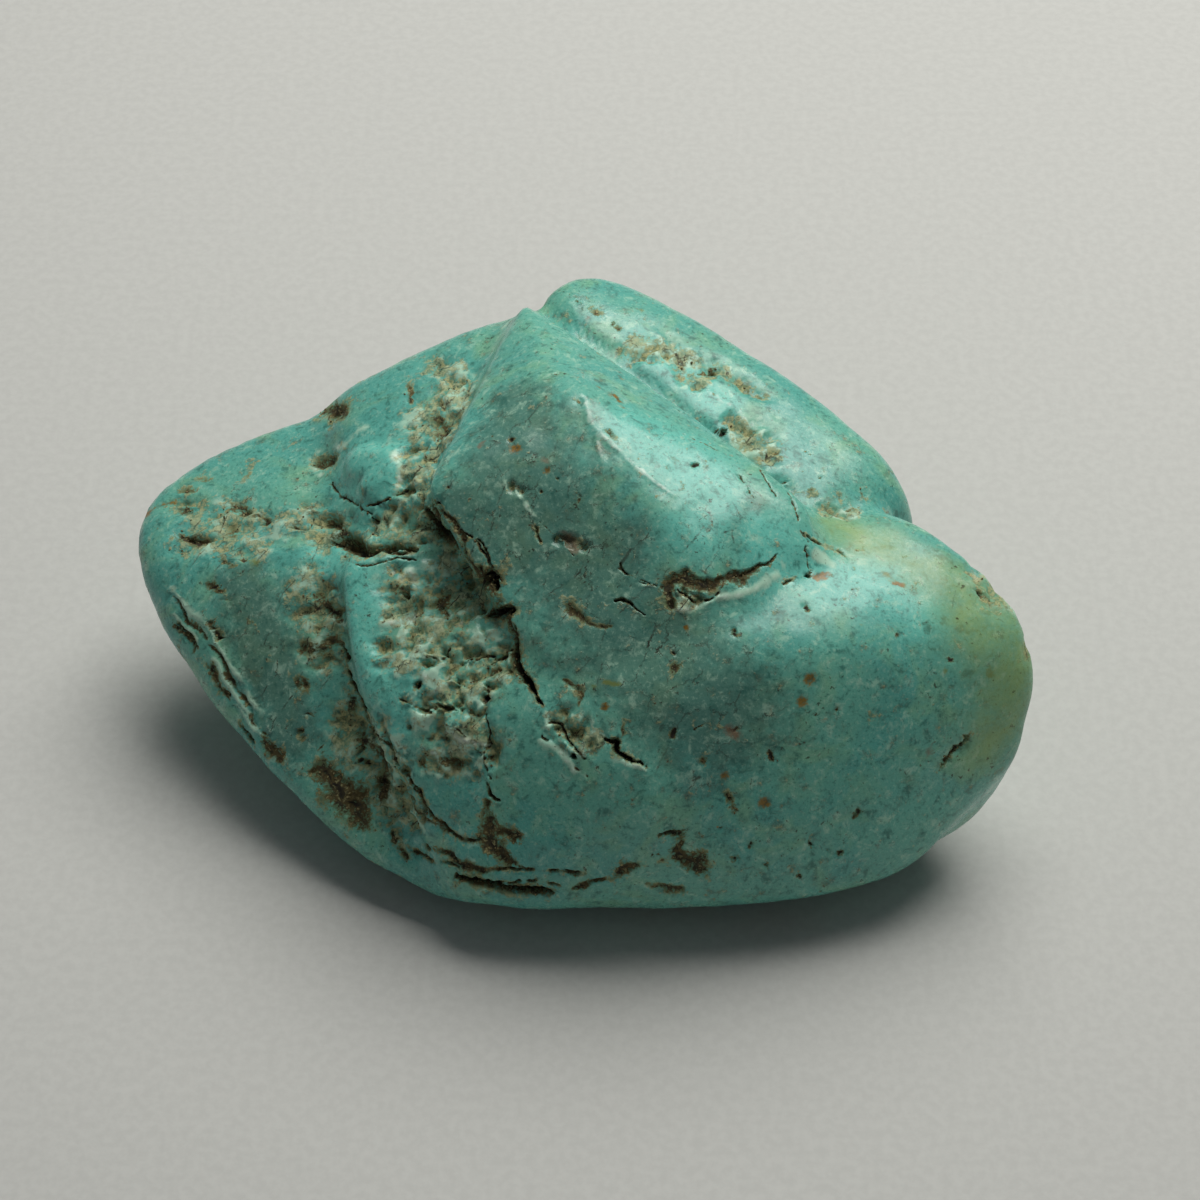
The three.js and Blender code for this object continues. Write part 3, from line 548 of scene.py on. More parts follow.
    # Raised creases down the block and along the back ridge, each carrying a painted highlight.
    "ridge": [
        [(-0.9, 10.9, 0.22), (-0.4, 9.3, 0.28), (0.8, 8.1, 0.26), (2.4, 6.7, 0.26), (3.9, 5.6, 0.15)],
        [(-0.3, 9.1, 0.15), (0, 7.8, 0.15), (0.4, 6.5, 0.1)],
        [(5.6, 11.1, 0.22), (7.2, 10.1, 0.26), (8.5, 9.1, 0.26), (9.5, 8.4, 0.15)],
    ],
    "swell": [
        [(-12.9, 7.2, 1.21), (-11.4, 7.2, 1.28), (-12.1, 6.1, 0.94)],
        [(-10.6, 1.1, 0.81), (-9.8, 0.3, 0.81)], [(-7.3, -1.8, 1.21), (-6.2, -1.6, 1.21)],
        [(-7.7, -6.5, 0.81), (-6.8, -7.2, 0.81)],
    ],
    "rough": [
        [(-21.7, 3, 0.81), (-19.4, 4, 1.48), (-17.8, 3, 0.81)], [(-15.9, 4.6, 0.81), (-14.3, 3.6, 1.21)],
        [(-21, 4.4, 1.21), (-19.4, 4.1, 1.48), (-17.8, 3.3, 0.94)],
        [(-15.6, 0.6, 1.08), (-15, -0.8, 1.08), (-14.8, -2.4, 1.08)],
        [(-13.2, -6.7, 1.21), (-12.4, -8.3, 1.48), (-11.9, -9.6, 1.08)],
        [(-10.5, 0.9, 0.94), (-9.6, -1.6, 1.35), (-8.5, -2.4, 1.35)],
        [(-8.5, 10, 1.62), (-9, 8.3, 1.48), (-9.7, 6.1, 1.08)],
        [(-11.6, 4.1, 0.94), (-10.1, 3.8, 1.21), (-9, 4.5, 0.81)],
        [(-7.5, 1.7, 1.08), (-8.5, 0.1, 1.48), (-9, -1.6, 1.08)], [(-6.5, -3.4, 1.48), (-8.2, -5.3, 1.48)],
        [(-8.1, -6.8, 1.35), (-6.8, -7.9, 1.35), (-7.3, -6.2, 1.21)],
        [(-8.7, -8.4, 0.81), (-7.2, -8.7, 0.94)],
        [(-15, 0.1, 0.94), (-14.3, -0.9, 0.94), (-15, -2.5, 1.08)],
        [(-13, -7.6, 1.21), (-11.9, -9.1, 1.35), (-10.8, -10.8, 1.21)],
        [(-2, -6.6, 0.81), (-0.9, -7.3, 0.81)],
        [(7.5, 9.2, 0.81), (8.3, 8.5, 0.94), (8.9, 7.8, 0.81), (7.7, 7.7, 0.67)],
        [(1.9, 13.5, 0.67), (3.2, 13.2, 0.81), (5, 12.6, 0.81)],
    ],
    # Painted light: brighter turquoise on the bump, the flank crest, the block's right facet, the back ridge
    # and the shoulder.
    "clear": [
        [(-12.9, 7.3, 1.48), (-11.4, 7.2, 1.48), (-12.1, 6.1, 1.21)],
        [(-15.1, 2.5, 0.67), (-13.5, 1.4, 0.94), (-12.7, -0.2, 1.08), (-12.4, -2.4, 1.08),
         (-11.9, -4.5, 0.94), (-10.9, -6.7, 0.81)],
        [(1.6, 9.3, 1.21), (4.3, 7.7, 1.75), (5.9, 5.8, 1.62), (5.2, 3.8, 1.48)],
        [(2.1, 13.5, 0.81), (4.3, 12.3, 0.94), (6.4, 10.4, 0.94)],
        [(8.8, 3.3, 1.21), (11.5, 1.2, 1.48), (15, 0.8, 1.48), (16.9, -0.4, 1.21)],
    ],
    # Painted shade: a darker colour on the left slope, on and beside the block's left facet, and on its low
    # front.
    "smokyPaintedShade": [
        [(-18.9, 0.9, 1.48), (-18, -1.6, 1.75), (-17.1, -4.5, 1.62), (-16.2, -7.4, 1.21)],
        [(-7.2, 5, 1.48), (-6, 3.4, 1.48)], [(-4.6, 10.4, 1.62), (-4.3, 7.2, 3.1), (-2.5, 4.2, 2.96)],
        [(-4.1, 3.1, 2.16), (0.5, 2.5, 2.16)], [(-1.2, 0.8, 2.69), (2.6, -2.6, 3.5), (6, -6, 3.23)],
        [(5.1, 2.9, 0.81), (6.4, 3.7, 0.94), (7.8, 5, 0.81)],
    ],
}


# Marks on the sides that face away, made up at random in the same manner.
strayMarks = {
    "seed": 11,
    "count": {
        "crack": 34, "groove": 22, "vein": 16, "patch": 40, "tan": 22, "pit": 22, "speck": 60, "iron": 16,
        "ochre": 8, "rough": 9, "pale": 12, "fold": 5, "green": 2,
    },
    "points": {"crack": 5, "groove": 4, "vein": 4, "fold": 5, "rough": 2, "patch": 2, "tan": 2, "pale": 3},
    "width": {
        "crack": 0.09, "groove": 0.17, "vein": 0.36, "patch": 0.28, "tan": 0.5, "pit": 0.28, "speck": 0.16,
        "iron": 0.28, "ochre": 0.3, "rough": 1.5, "pale": 0.3, "fold": 0.14, "green": 1.2,
    },
    "widthShare": (0.6, 1.5),  # how much wider or narrower than its kind a mark can be
    "taper": (0.6, 1.2),  # and each of its points
    "turn": 0.7,  # radians, at each point
    "stride": 1.5,
    "strideShare": (0.5, 1.3),
}


def smoothPath(points, stride=0.3):  # a smooth curve through the points, sampled closely
    p = np.array(points, float)
    if len(p) == 1:
        return p
    ends = np.vstack([2 * p[0] - p[1], p, 2 * p[-1] - p[-2]])
    pieces = []
    for p0, p1, p2, p3 in zip(ends, ends[1:], ends[2:], ends[3:]):
        count = max(2, math.ceil(np.linalg.norm((p2 - p1)[:-1]) / stride))
        t = np.linspace(0, 1, count, endpoint=False)[:, None]
        bend = (2 * p0 - 5 * p1 + 4 * p2 - p3) * t**2 + (3 * p1 - p0 - 3 * p2 + p3) * t**3
        pieces.append(p1 + 0.5 * ((p2 - p0) * t + bend))
    return np.vstack(pieces + [p[-1:]])


def castDisplayMarks(tree):
    right, up, back = viewDirections()
    aim = np.array(display["aim"])
    eye = aim + back * display["distance"]
    cast = []
    for kind, lines in displayMarks.items():
        for points in lines:
            path = []
            for across, rise, halfWidth in smoothPath(points):
                target = aim + right * across + up * rise
                place = tree.ray_cast(Vector(eye), Vector(target - eye))[0]
                if place is None:
                    place = tree.find_nearest(Vector(target))[0]
                path.append((*place, halfWidth))
            cast.append((kind, np.array(path)))
    return cast


def castStrayMarks(tree):
    draw = random.Random(strayMarks["seed"])
    _, _, back = viewDirections()
    heart = Vector(stoneMesh["heart"])
    cast = []
    for kind, count in strayMarks["count"].items():
        made = 0
        while made < count:
            direction = Vector([draw.gauss(0, 1) for _ in range(3)]).normalized()
            place, normal, _, _ = tree.ray_cast(heart + direction * display["distance"], -direction)
            if place is None or normal.dot(Vector(back)) > 0:
                continue
            heading = normal.orthogonal().normalized()
            heading.rotate(Quaternion(normal, draw.uniform(0, 2 * math.pi)))
            halfWidth = strayMarks["width"][kind] * draw.uniform(*strayMarks["widthShare"])
            path = [(*place, halfWidth)]
            for _ in range(strayMarks["points"].get(kind, 1) - 1):
                heading.rotate(Quaternion(normal, draw.uniform(-strayMarks["turn"], strayMarks["turn"])))
                step = heading * strayMarks["stride"] * draw.uniform(*strayMarks["strideShare"])
                place, normal, _, _ = tree.find_nearest(place + step * (halfWidth + 0.4))
                if normal.dot(Vector(back)) > 0:
                    break
                heading = (heading - normal * heading.dot(normal)).normalized()
                path.append((*place, halfWidth * draw.uniform(*strayMarks["taper"])))
            curve = smoothPath(path)
            curve[:, :3] = [tree.find_nearest(Vector(p))[0] for p in curve[:, :3]]
            cast.append((kind, curve))
            made += 1
    return cast


def shareOfMark(points, path, reach):  # 0 on a mark's line, 1 at its edge; only for points within its reach
    widest = path[:, 3].max() * reach
    near = np.all((points > path[:, :3].min(0) - widest) & (points < path[:, :3].max(0) + widest), axis=1)
    index = np.flatnonzero(near)
    share = np.full(len(index), np.inf)
    a, b = (path, path) if len(path) == 1 else (path[:-1], path[1:])
    for start, end in zip(a, b):
        along = end[:3] - start[:3]
        length = max(along @ along, 1e-9)
        t = np.clip((points[index] - start[:3]) @ along / length, 0, 1)
        gap = np.linalg.norm(points[index] - start[:3] - t[:, None] * along, axis=1)
        share = np.minimum(share, gap / (start[3] + t * (end[3] - start[3])))
    return index, share


def gapToMarks(points, cast):  # distance to the nearest narrow mark's line
    gap = np.full(len(points), np.inf)
    widest = max(stoneMesh["fineReach"])
    for kind, path in cast:
        if kind not in stoneMesh["fineKinds"]:
            continue
        evenPath = np.column_stack([path[:, :3], np.full(len(path), widest)])
        index, share = shareOfMark(points, evenPath, 1.2)
        gap[index] = np.minimum(gap[index], np.maximum(share * widest - path[:, 3].max(), 0))
    return gap


def splitNear(directions, faces, gap, reach):  # splits every edge that lies within reach of a narrow mark
    mesh = bpy.data.meshes.new("split")
    mesh.from_pydata(directions.tolist(), [], faces.tolist())
    bm = bmesh.new()
    bm.from_mesh(mesh)
    near = gap < reach
    edges = [e for e in bm.edges if near[e.verts[0].index] and near[e.verts[1].index]]
    bmesh.ops.subdivide_edges(bm, edges=edges, cuts=1, use_grid_fill=True)
    bmesh.ops.triangulate(bm, faces=[f for f in bm.faces if len(f.verts) > 3])
    bm.to_mesh(mesh)
    bm.free()
    finer = unit(np.array([v.co[:] for v in mesh.vertices]))
    finerFaces = np.array([p.vertices[:] for p in mesh.polygons])
    bpy.data.meshes.remove(mesh)
    return finer, finerFaces


def smoothstep(low, high, value):
    t = np.clip((value - low) / (high - low), 0, 1)
    return t * t * (3 - 2 * t)


def noiseOver(points, size, octaves=1, shift=0.0):  # smooth noise of about -1 to 1, with features that size
    return np.array([
        noise.fractal(Vector(p), 0.8, 2.1, octaves, noise_basis="PERLIN_NEW")
        for p in points / size + shift
    ])


def wander(points, size, shift):
    return np.column_stack([noiseOver(points, size, 2, shift + k * 17.3) for k in range(3)])


relief = {
    "swellSize": 3.4, "swellHeight": 0.085,  # the gentle unevenness of a worn surface
    "rippleSize": 0.95, "rippleHeight": 0.022,
    "lumpSize": 1.7, "lumpHeight": 0.36,  # where the stone is rough
    "hollowSize": 0.8, "hollowDepth": 0.26,
    "gritSize": 0.3, "gritHeight": 0.065,
    "wanderSize": 1.5, "wanderReach": 0.34,
    "frayingSize": 0.42, "frayingReach": 0.08,
    "footHeight": 0.35,  # relief fades out this close to the floor
    "markReach": 3.2,  # half widths from its line that a mark's colouring can reach
    "markEdge": 1.15,  # half widths from its line where a mark's depth ends
    "hairline": 0.14,  # marks with a smaller half width are shallower
}


def surfaceOf(points, cast):  # the marks' depths and colourings at each point, and the relief between them
    coarse = wander(points, relief["wanderSize"], 5.1) * relief["wanderReach"]
    fine = wander(points, relief["frayingSize"], 9.7) * relief["frayingReach"]
    level = {name: np.zeros(len(points)) for name in colourings}
    sunk, raised = np.zeros(len(points)), np.zeros(len(points))
    for kind, path in cast:
        form = markKinds[kind]
        index, share = shareOfMark(points + coarse * form["ragged"] + fine, path, relief["markReach"])
        depth = 1 - smoothstep(form["soft"], relief["markEdge"], share)
        shallow = np.minimum(1, path[:, 3].max() / relief["hairline"])
        if form["sink"] > 0:
            sunk[index] = np.maximum(sunk[index], depth * form["sink"] * shallow)
        else:
            raised[index] = np.maximum(raised[index], depth * -form["sink"])
        for name in colourings:
            if name in form:
                value = np.clip(1 - share / (2 * form[name]), 0, 1)
                level[name][index] = np.maximum(level[name][index], value)
    rough = smoothstep(0.1, 0.6, level["rough"])
    lumps = noiseOver(points + coarse, relief["lumpSize"], 3, 3.3)
    lumps = 0.5 * lumps + 0.35 - np.abs(noiseOver(points + coarse, relief["lumpSize"] * 0.7, 2, 60.0))
    pitted = noiseOver(points + coarse * 1.4, relief["hollowSize"], 2, 12.7)
    grit = noiseOver(points, relief["gritSize"], 3, 21.0)
    worn = relief["swellHeight"] * noiseOver(points, relief["swellSize"], 2, 40.0)
    worn += relief["rippleHeight"] * noiseOver(points, relief["rippleSize"], 2, 31.0)
    hollow = smoothstep(0.02, 0.42, pitted - 0.35 * lumps) * rough
    level["hollow"] = hollow
    level["crest"] = smoothstep(0.05, 0.5, lumps - 0.6 * pitted) * rough
    inMatrix = smoothstep(0.3, 0.7, np.maximum(level["matrix"], level["tan"]))
    footing = smoothstep(0.2, 1.2, points[:, 2])
    level["crumbs"] = np.maximum(smoothstep(0.5, 0.8, level["matrix"]), hollow * inMatrix * 0.7) * footing
    lift = worn + raised - sunk
    lift += rough * (relief["lumpHeight"] * (lumps - 0.3) + relief["gritHeight"] * grit)
    lift -= relief["hollowDepth"] * hollow
    lift += inMatrix * relief["gritHeight"] * 0.9 * (grit - 0.2)
    lift -= relief["swellHeight"]  # keeps the surface inside the CAD model's
    return lift, level


def makeStone():
    rows = stoneMesh["rows"]
    grown = grownLobes()
    coarseDirections, coarseFaces = geodesic(stoneMesh["coarseRows"])
    coarsePoints = seat(drawIn(coarseDirections, grown))
    tree = treeOf(coarsePoints, coarseFaces)
    cast = castDisplayMarks(tree) + castStrayMarks(tree)
    print("stone: placed", len(cast), "marks")

    directions, faces = geodesic(rows)
    _, _, back = viewDirections()
    directions = unit(directions + stoneMesh["crowding"] * back)
    points = drawIn(directions, grown)
    for reach in stoneMesh["fineReach"]:
        gap = gapToMarks(seat(points), cast)
        directions, faces = splitNear(directions, faces, gap, reach)
        points = drawIn(directions, grown)
    points = seat(points)
    print("stone: drew in", len(faces), "triangles")

    normals = vertexNormals(points, faces)
    lift, level = surfaceOf(points, cast)
    lift *= smoothstep(0, relief["footHeight"], points[:, 2])
    points = points + normals * lift[:, None]
    points[:, 2] = np.maximum(points[:, 2], 0)
    mesh = meshOf("turquoiseNugget", points, faces)
    for name, values in level.items():
        mesh.attributes.new(name, "FLOAT", "POINT").data.foreach_set("value", values.astype(np.float32))
    print("stone: cut the surface marks and relief")
    return place(mesh)


def meshOf(name, points, faces):
    mesh = bpy.data.meshes.new(name)
    mesh.from_pydata((points * metre).tolist(), [], faces.tolist())
    mesh.shade_smooth()
    mesh.validate()
    return mesh


def place(mesh):
    piece = bpy.data.objects.new(mesh.name, mesh)
    bpy.context.scene.collection.objects.link(piece)
    return piece


# Materials. Noise sizes are in millimetres. Colours are sRGB, 0 to 255.
turquoiseLook = {
    "blue": (90, 170, 158),
    "teal": (104, 178, 160),
    "green": (122, 180, 148),
    # pale turquoise; also painted highlight on the gleam marks, the back ridge and the rough crests
    "pale": (184, 222, 198),
    "deep": (46, 104, 94),
    # smoke grey: random smoky mottling, and painted shade on the smoky marks
    "smoke": (82, 106, 92),
    # painted light: the brighter turquoise of the clear marks
    "clear": (106, 196, 182),
    "greenStain": (142, 166, 96),
    "olive": (96, 108, 68),
    "brown": (84, 70, 34),
    "darkBrown": (44, 34, 20),
    "tan": (178, 174, 124),
    "iron": (136, 100, 14),
    "ochre": (118, 126, 50),
    "pink": (124, 106, 88),
    "crackLine": (32, 28, 20),
    # colour of painted highlights
    "glint": (226, 244, 232),
    "gloss": 0.27,  # roughness of the polish
    "dull": 0.8,  # roughness of bare matrix
    "ior": 1.46,
    "toothHeight": 0.035,
    "toothStrength": 0.6,
    "crazingSize": 1.5,
    "crazingWidth": 0.05,
}

# Noises that the colours are made with: size, detail, roughness and warp.
turquoiseNoises = {
    "cloud": (7.5, 3, 0.5, 0.6),
    "patchy": (2.6, 3, 0.6, 0.8),
    "mottle": (0.8, 5, 0.7, 0.4),
    "fleck": (0.2, 3, 0.7),
    "fray": (0.3, 4, 0.65),
    "frayWide": (0.9, 4, 0.65),
}

# Mottling: a noise, where it begins and ends, the most it covers, and its colour.
turquoiseMottling = [
    ("mottle", 0.53, 0.7, 0.5, "pale"),
    ("mottle", 0.48, 0.3, 0.75, "deep"),
    ("frayWide", 0.55, 0.72, 0.6, "smoke"),
    ("fleck", 0.54, 0.7, 0.3, "pale"),
    ("fleck", 0.46, 0.28, 0.6, "deep"),
]


def linear(colour):
    c = np.array(colour) / 255
    return (*np.where(c <= 0.04045, c / 12.92, ((c + 0.055) / 1.055) ** 2.4), 1.0)


def newMaterial(name):
    material = bpy.data.materials.new(name)
    material.use_nodes = True
    tree = material.node_tree
    tree.nodes.clear()
    shader = tree.nodes.new("ShaderNodeBsdfPrincipled")
    output = tree.nodes.new("ShaderNodeOutputMaterial")
    tree.links.new(shader.outputs["BSDF"], output.inputs["Surface"])
    return material, tree, shader


def feed(tree, socket, value):  # links a node's output to a socket, or sets the socket's value
    if isinstance(value, bpy.types.NodeSocket):
        tree.links.new(value, socket)
    else:
        socket.default_value = value


def millimetres(tree):
    coordinates = tree.nodes.new("ShaderNodeTexCoord")
    mapping = tree.nodes.new("ShaderNodeMapping")
    mapping.inputs["Scale"].default_value = (1 / metre,) * 3
    tree.links.new(coordinates.outputs["Object"], mapping.inputs["Vector"])
    return mapping.outputs["Vector"]


def grain(tree, vector, size, detail=2.0, rough=0.55, warp=0.0):
    node = tree.nodes.new("ShaderNodeTexNoise")
    node.inputs["Scale"].default_value = 1 / size
    node.inputs["Detail"].default_value = detail
    node.inputs["Roughness"].default_value = rough
    node.inputs["Distortion"].default_value = warp
    tree.links.new(vector, node.inputs["Vector"])
    return node.outputs["Fac"]


def ramp(tree, value, low, high, start=0.0, end=1.0):  # smooth step from start to end
    node = tree.nodes.new("ShaderNodeMapRange")
    node.interpolation_type = "SMOOTHSTEP"
    feed(tree, node.inputs["Value"], value)
    node.inputs["From Min"].default_value = low
    node.inputs["From Max"].default_value = high
    node.inputs["To Min"].default_value = start
    node.inputs["To Max"].default_value = end
    return node.outputs["Result"]


def maths(tree, operation, a, b):
    node = tree.nodes.new("ShaderNodeMath")
    node.operation = operation
    feed(tree, node.inputs[0], a)
    feed(tree, node.inputs[1], b)
    return node.outputs[0]


def plus(tree, a, b):
    return maths(tree, "ADD", a, b)


def times(tree, a, b):
    return maths(tree, "MULTIPLY", a, b)


def larger(tree, a, b):
    return maths(tree, "MAXIMUM", a, b)


def blend(tree, share, a, b):
    node = tree.nodes.new("ShaderNodeMix")
    node.data_type = "RGBA"
    feed(tree, node.inputs["Factor"], share)
    feed(tree, node.inputs["A"], a)
    feed(tree, node.inputs["B"], b)
    return node.outputs["Result"]


def attribute(tree, name):
    node = tree.nodes.new("ShaderNodeAttribute")
    node.attribute_name = name
    return node.outputs["Fac"]


def stain(tree, name, noise, amount, edge=0.08, at=0.5, most=1.0):  # a mark's colouring, its edge broken up
    wobble = times(tree, maths(tree, "SUBTRACT", noise, 0.5), amount)
    level = plus(tree, maths(tree, "MINIMUM", attribute(tree, name), most), wobble)
    return ramp(tree, level, at - edge, at + edge)


def crazing(tree, vector, warp, size, width):  # a net of hairlines
    node = tree.nodes.new("ShaderNodeTexVoronoi")
    node.feature = "DISTANCE_TO_EDGE"
    node.inputs["Scale"].default_value = 1 / size
    shifted = tree.nodes.new("ShaderNodeVectorMath")
    shifted.operation = "MULTIPLY_ADD"
    tree.links.new(warp, shifted.inputs[0])
    shifted.inputs[1].default_value = (size * 0.8,) * 3
    tree.links.new(vector, shifted.inputs[2])
    tree.links.new(shifted.outputs["Vector"], node.inputs["Vector"])
    return ramp(tree, node.outputs["Distance"], width / size, 0.3 * width / size)


def bodyColour(tree, look, noises):  # turquoise, clouded, mottled and stained, with painted shade from the smoky marks and painted light from the clear marks
    colour = blend(tree, ramp(tree, noises["cloud"], 0.4, 0.6), look["blue"], look["teal"])
    colour = blend(tree, ramp(tree, noises["patchy"], 0.45, 0.7, 0, 0.85), colour, look["green"])
    # Painted shade from the smoky marks, with random smoky clouding from the noise, towards the smoke colour.
    smokyPaintedShade = plus(tree, attribute(tree, "smoke"), times(tree, noises["frayWide"], 0.9))
    colour = blend(tree, ramp(tree, smokyPaintedShade, 0.6, 1.2, 0, 0.62), colour, look["smoke"])
    # Painted light: the clear marks, and a little noise, lighten the colour towards the clear colour.
    paintedLight = plus(tree, attribute(tree, "clear"), times(tree, noises["frayWide"], 0.5))
    colour = blend(tree, ramp(tree, paintedLight, 0.3, 1.0, 0, 0.85), colour, look["clear"])
    for name, begin, end, most, paint in turquoiseMottling:
        colour = blend(tree, ramp(tree, noises[name], begin, end, 0, most), colour, look[paint])
    cloudy = times(tree, plus(tree, noises["patchy"], noises["fray"]), 0.7)
    greenish = times(tree, ramp(tree, attribute(tree, "green"), 0.05, 0.95, 0, 0.8), cloudy)
    colour = blend(tree, greenish, colour, look["greenStain"])
    # Pale patches: pale stone, and painted highlight where the gleam marks and the back ridge's pale marks
    # lie.
    paleLevel = plus(tree, attribute(tree, "pale"), noises["frayWide"])
    return blend(tree, ramp(tree, paleLevel, 0.75, 1.3, 0, 0.85), colour, look["pale"])


def roughColour(tree, look, noises, colour):  # pale crests, partly pale stone and partly a painted highlight; olive and tan hollows
    mixed = noises["mixed"]
    uneven = maths(tree, "SUBTRACT", mixed, 0.5)
    # The pale on the crests is partly the stone's own pale turquoise and partly a painted highlight.
    crest = plus(tree, attribute(tree, "crest"), uneven)
    colour = blend(tree, ramp(tree, crest, 0.3, 0.85, 0, 0.85), colour, look["pale"])
    earth = blend(tree, ramp(tree, mixed, 0.42, 0.6), look["olive"], look["tan"])
    earthy = plus(tree, attribute(tree, "hollow"), times(tree, uneven, 1.6))
    colour = blend(tree, ramp(tree, earthy, 0.2, 0.9, 0, 0.8), colour, earth)
    tan = stain(tree, "tan", times(tree, plus(tree, mixed, noises["frayWide"]), 0.5), 4.4, 0.2, 0.52, 0.6)
    return blend(tree, times(tree, tan, 0.68), colour, earth), tan


def matrixColour(tree, look, noises, colour):  # an olive halo round a brown heart
    mixed = noises["mixed"]
    halo = stain(tree, "matrix", mixed, 2.0, 0.12, 0.44)
    colour = blend(tree, times(tree, halo, 0.75), colour, look["olive"])
    brown = blend(tree, ramp(tree, noises["mottle"], 0.42, 0.56), look["darkBrown"], look["brown"])
    brown = blend(tree, ramp(tree, noises["fray"], 0.46, 0.38, 0, 0.7), brown, look["darkBrown"])
    brown = blend(tree, ramp(tree, mixed, 0.55, 0.64, 0, 0.75), brown, look["tan"])
    matrix = stain(tree, "matrix", mixed, 2.6, 0.08, 0.62)
    return blend(tree, times(tree, matrix, 0.92), colour, brown), halo


def scatteredColour(tree, look, noises, colour):  # specks and hairlines
    pepper = times(tree, ramp(tree, noises["fray"], 0.62, 0.67), ramp(tree, noises["patchy"], 0.44, 0.58))
    colour = blend(tree, times(tree, pepper, 0.75), colour, look["darkBrown"])
    where = plus(tree, times(tree, attribute(tree, "smoke"), 0.6), times(tree, attribute(tree, "rough"), 0.8))
    where = plus(tree, ramp(tree, noises["mottle"], 0.5, 0.62, 0, 0.4), where)
    where = times(tree, where, ramp(tree, noises["frayWide"], 0.42, 0.56))
    lines = crazing(tree, millimetres(tree), noises["mixed"], look["crazingSize"], look["crazingWidth"])
    return blend(tree, times(tree, lines, where), colour, look["darkBrown"])


def stainColour(tree, look, noises, colour):  # ochre, pink and iron stains, painted highlights (glints), and dark cracks
    mixed = noises["mixed"]
    rust = blend(tree, ramp(tree, mixed, 0.4, 0.56), look["brown"], look["iron"])
    for name, amount, edge, most, paint in (
        ("ochre", 1.4, 0.25, 0.75, look["ochre"]),
        ("pink", 1.4, 0.25, 0.7, look["pink"]),
        ("iron", 1.3, 0.2, 0.92, rust),
    ):
        colour = blend(tree, times(tree, stain(tree, name, mixed, amount, edge), most), colour, paint)
    # Painted highlight: the glint of the gleam and ridge marks, broken up by noise.
    glint = times(tree, attribute(tree, "glint"), ramp(tree, noises["frayWide"], 0.35, 0.6))
    colour = blend(tree, ramp(tree, glint, 0.1, 1.0, 0, 0.6), colour, look["glint"])
    dark = stain(tree, "dark", mixed, 0.8, 0.16)
    return blend(tree, times(tree, dark, 0.92), colour, look["crackLine"]), dark


def turquoiseMaterial():
    look = {k: linear(v) if isinstance(v, tuple) else v for k, v in turquoiseLook.items()}
    material, tree, shader = newMaterial("turquoise")
    mm = millimetres(tree)
    noises = {name: grain(tree, mm, *values) for name, values in turquoiseNoises.items()}
    noises["mixed"] = plus(tree, times(tree, noises["fray"], 0.65), times(tree, noises["fleck"], 0.35))
    colour = bodyColour(tree, look, noises)
    colour, tan = roughColour(tree, look, noises, colour)
    colour, halo = matrixColour(tree, look, noises, colour)
    colour = scatteredColour(tree, look, noises, colour)
    colour, dark = stainColour(tree, look, noises, colour)
    feed(tree, shader.inputs["Base Color"], colour)

    bare = larger(tree, halo, larger(tree, tan, dark))
    bare = larger(tree, bare, times(tree, attribute(tree, "rough"), 0.35))
    polish = ramp(tree, noises["mottle"], 0.3, 0.7, look["gloss"] + 0.08, look["gloss"] - 0.06)
    roughness = plus(tree, polish, times(tree, bare, look["dull"] - look["gloss"]))
    feed(tree, shader.inputs["Roughness"], roughness)
    shader.inputs["IOR"].default_value = look["ior"]

    bump = tree.nodes.new("ShaderNodeBump")
    bump.inputs["Strength"].default_value = look["toothStrength"]
    bump.inputs["Distance"].default_value = look["toothHeight"] * metre
    feed(tree, bump.inputs["Height"], times(tree, noises["mixed"], plus(tree, 0.55, bare)))
    feed(tree, shader.inputs["Normal"], bump.outputs["Normal"])
    return material


# Crumbs of matrix caught in the hollows.
crumbs = {
    "radius": 0.075,
    "smallest": 0.45,  # shares of the radius, along each of a crumb's axes
    "largest": 1.25,
    "perSquareMillimetre": 5.0,
    "seed": 4,
    "brown": (78, 66, 36),
    "tan": (158, 146, 104),
    "roughness": 0.85,
    "grainSize": 0.4,
}


def crumbMaterial():
    material, tree, shader = newMaterial("matrixCrumb")
    shade = grain(tree, millimetres(tree), crumbs["grainSize"], 3, 0.7)
    colour = blend(tree, ramp(tree, shade, 0.42, 0.68), linear(crumbs["brown"]), linear(crumbs["tan"]))
    feed(tree, shader.inputs["Base Color"], colour)
    shader.inputs["Roughness"].default_value = crumbs["roughness"]
    return material


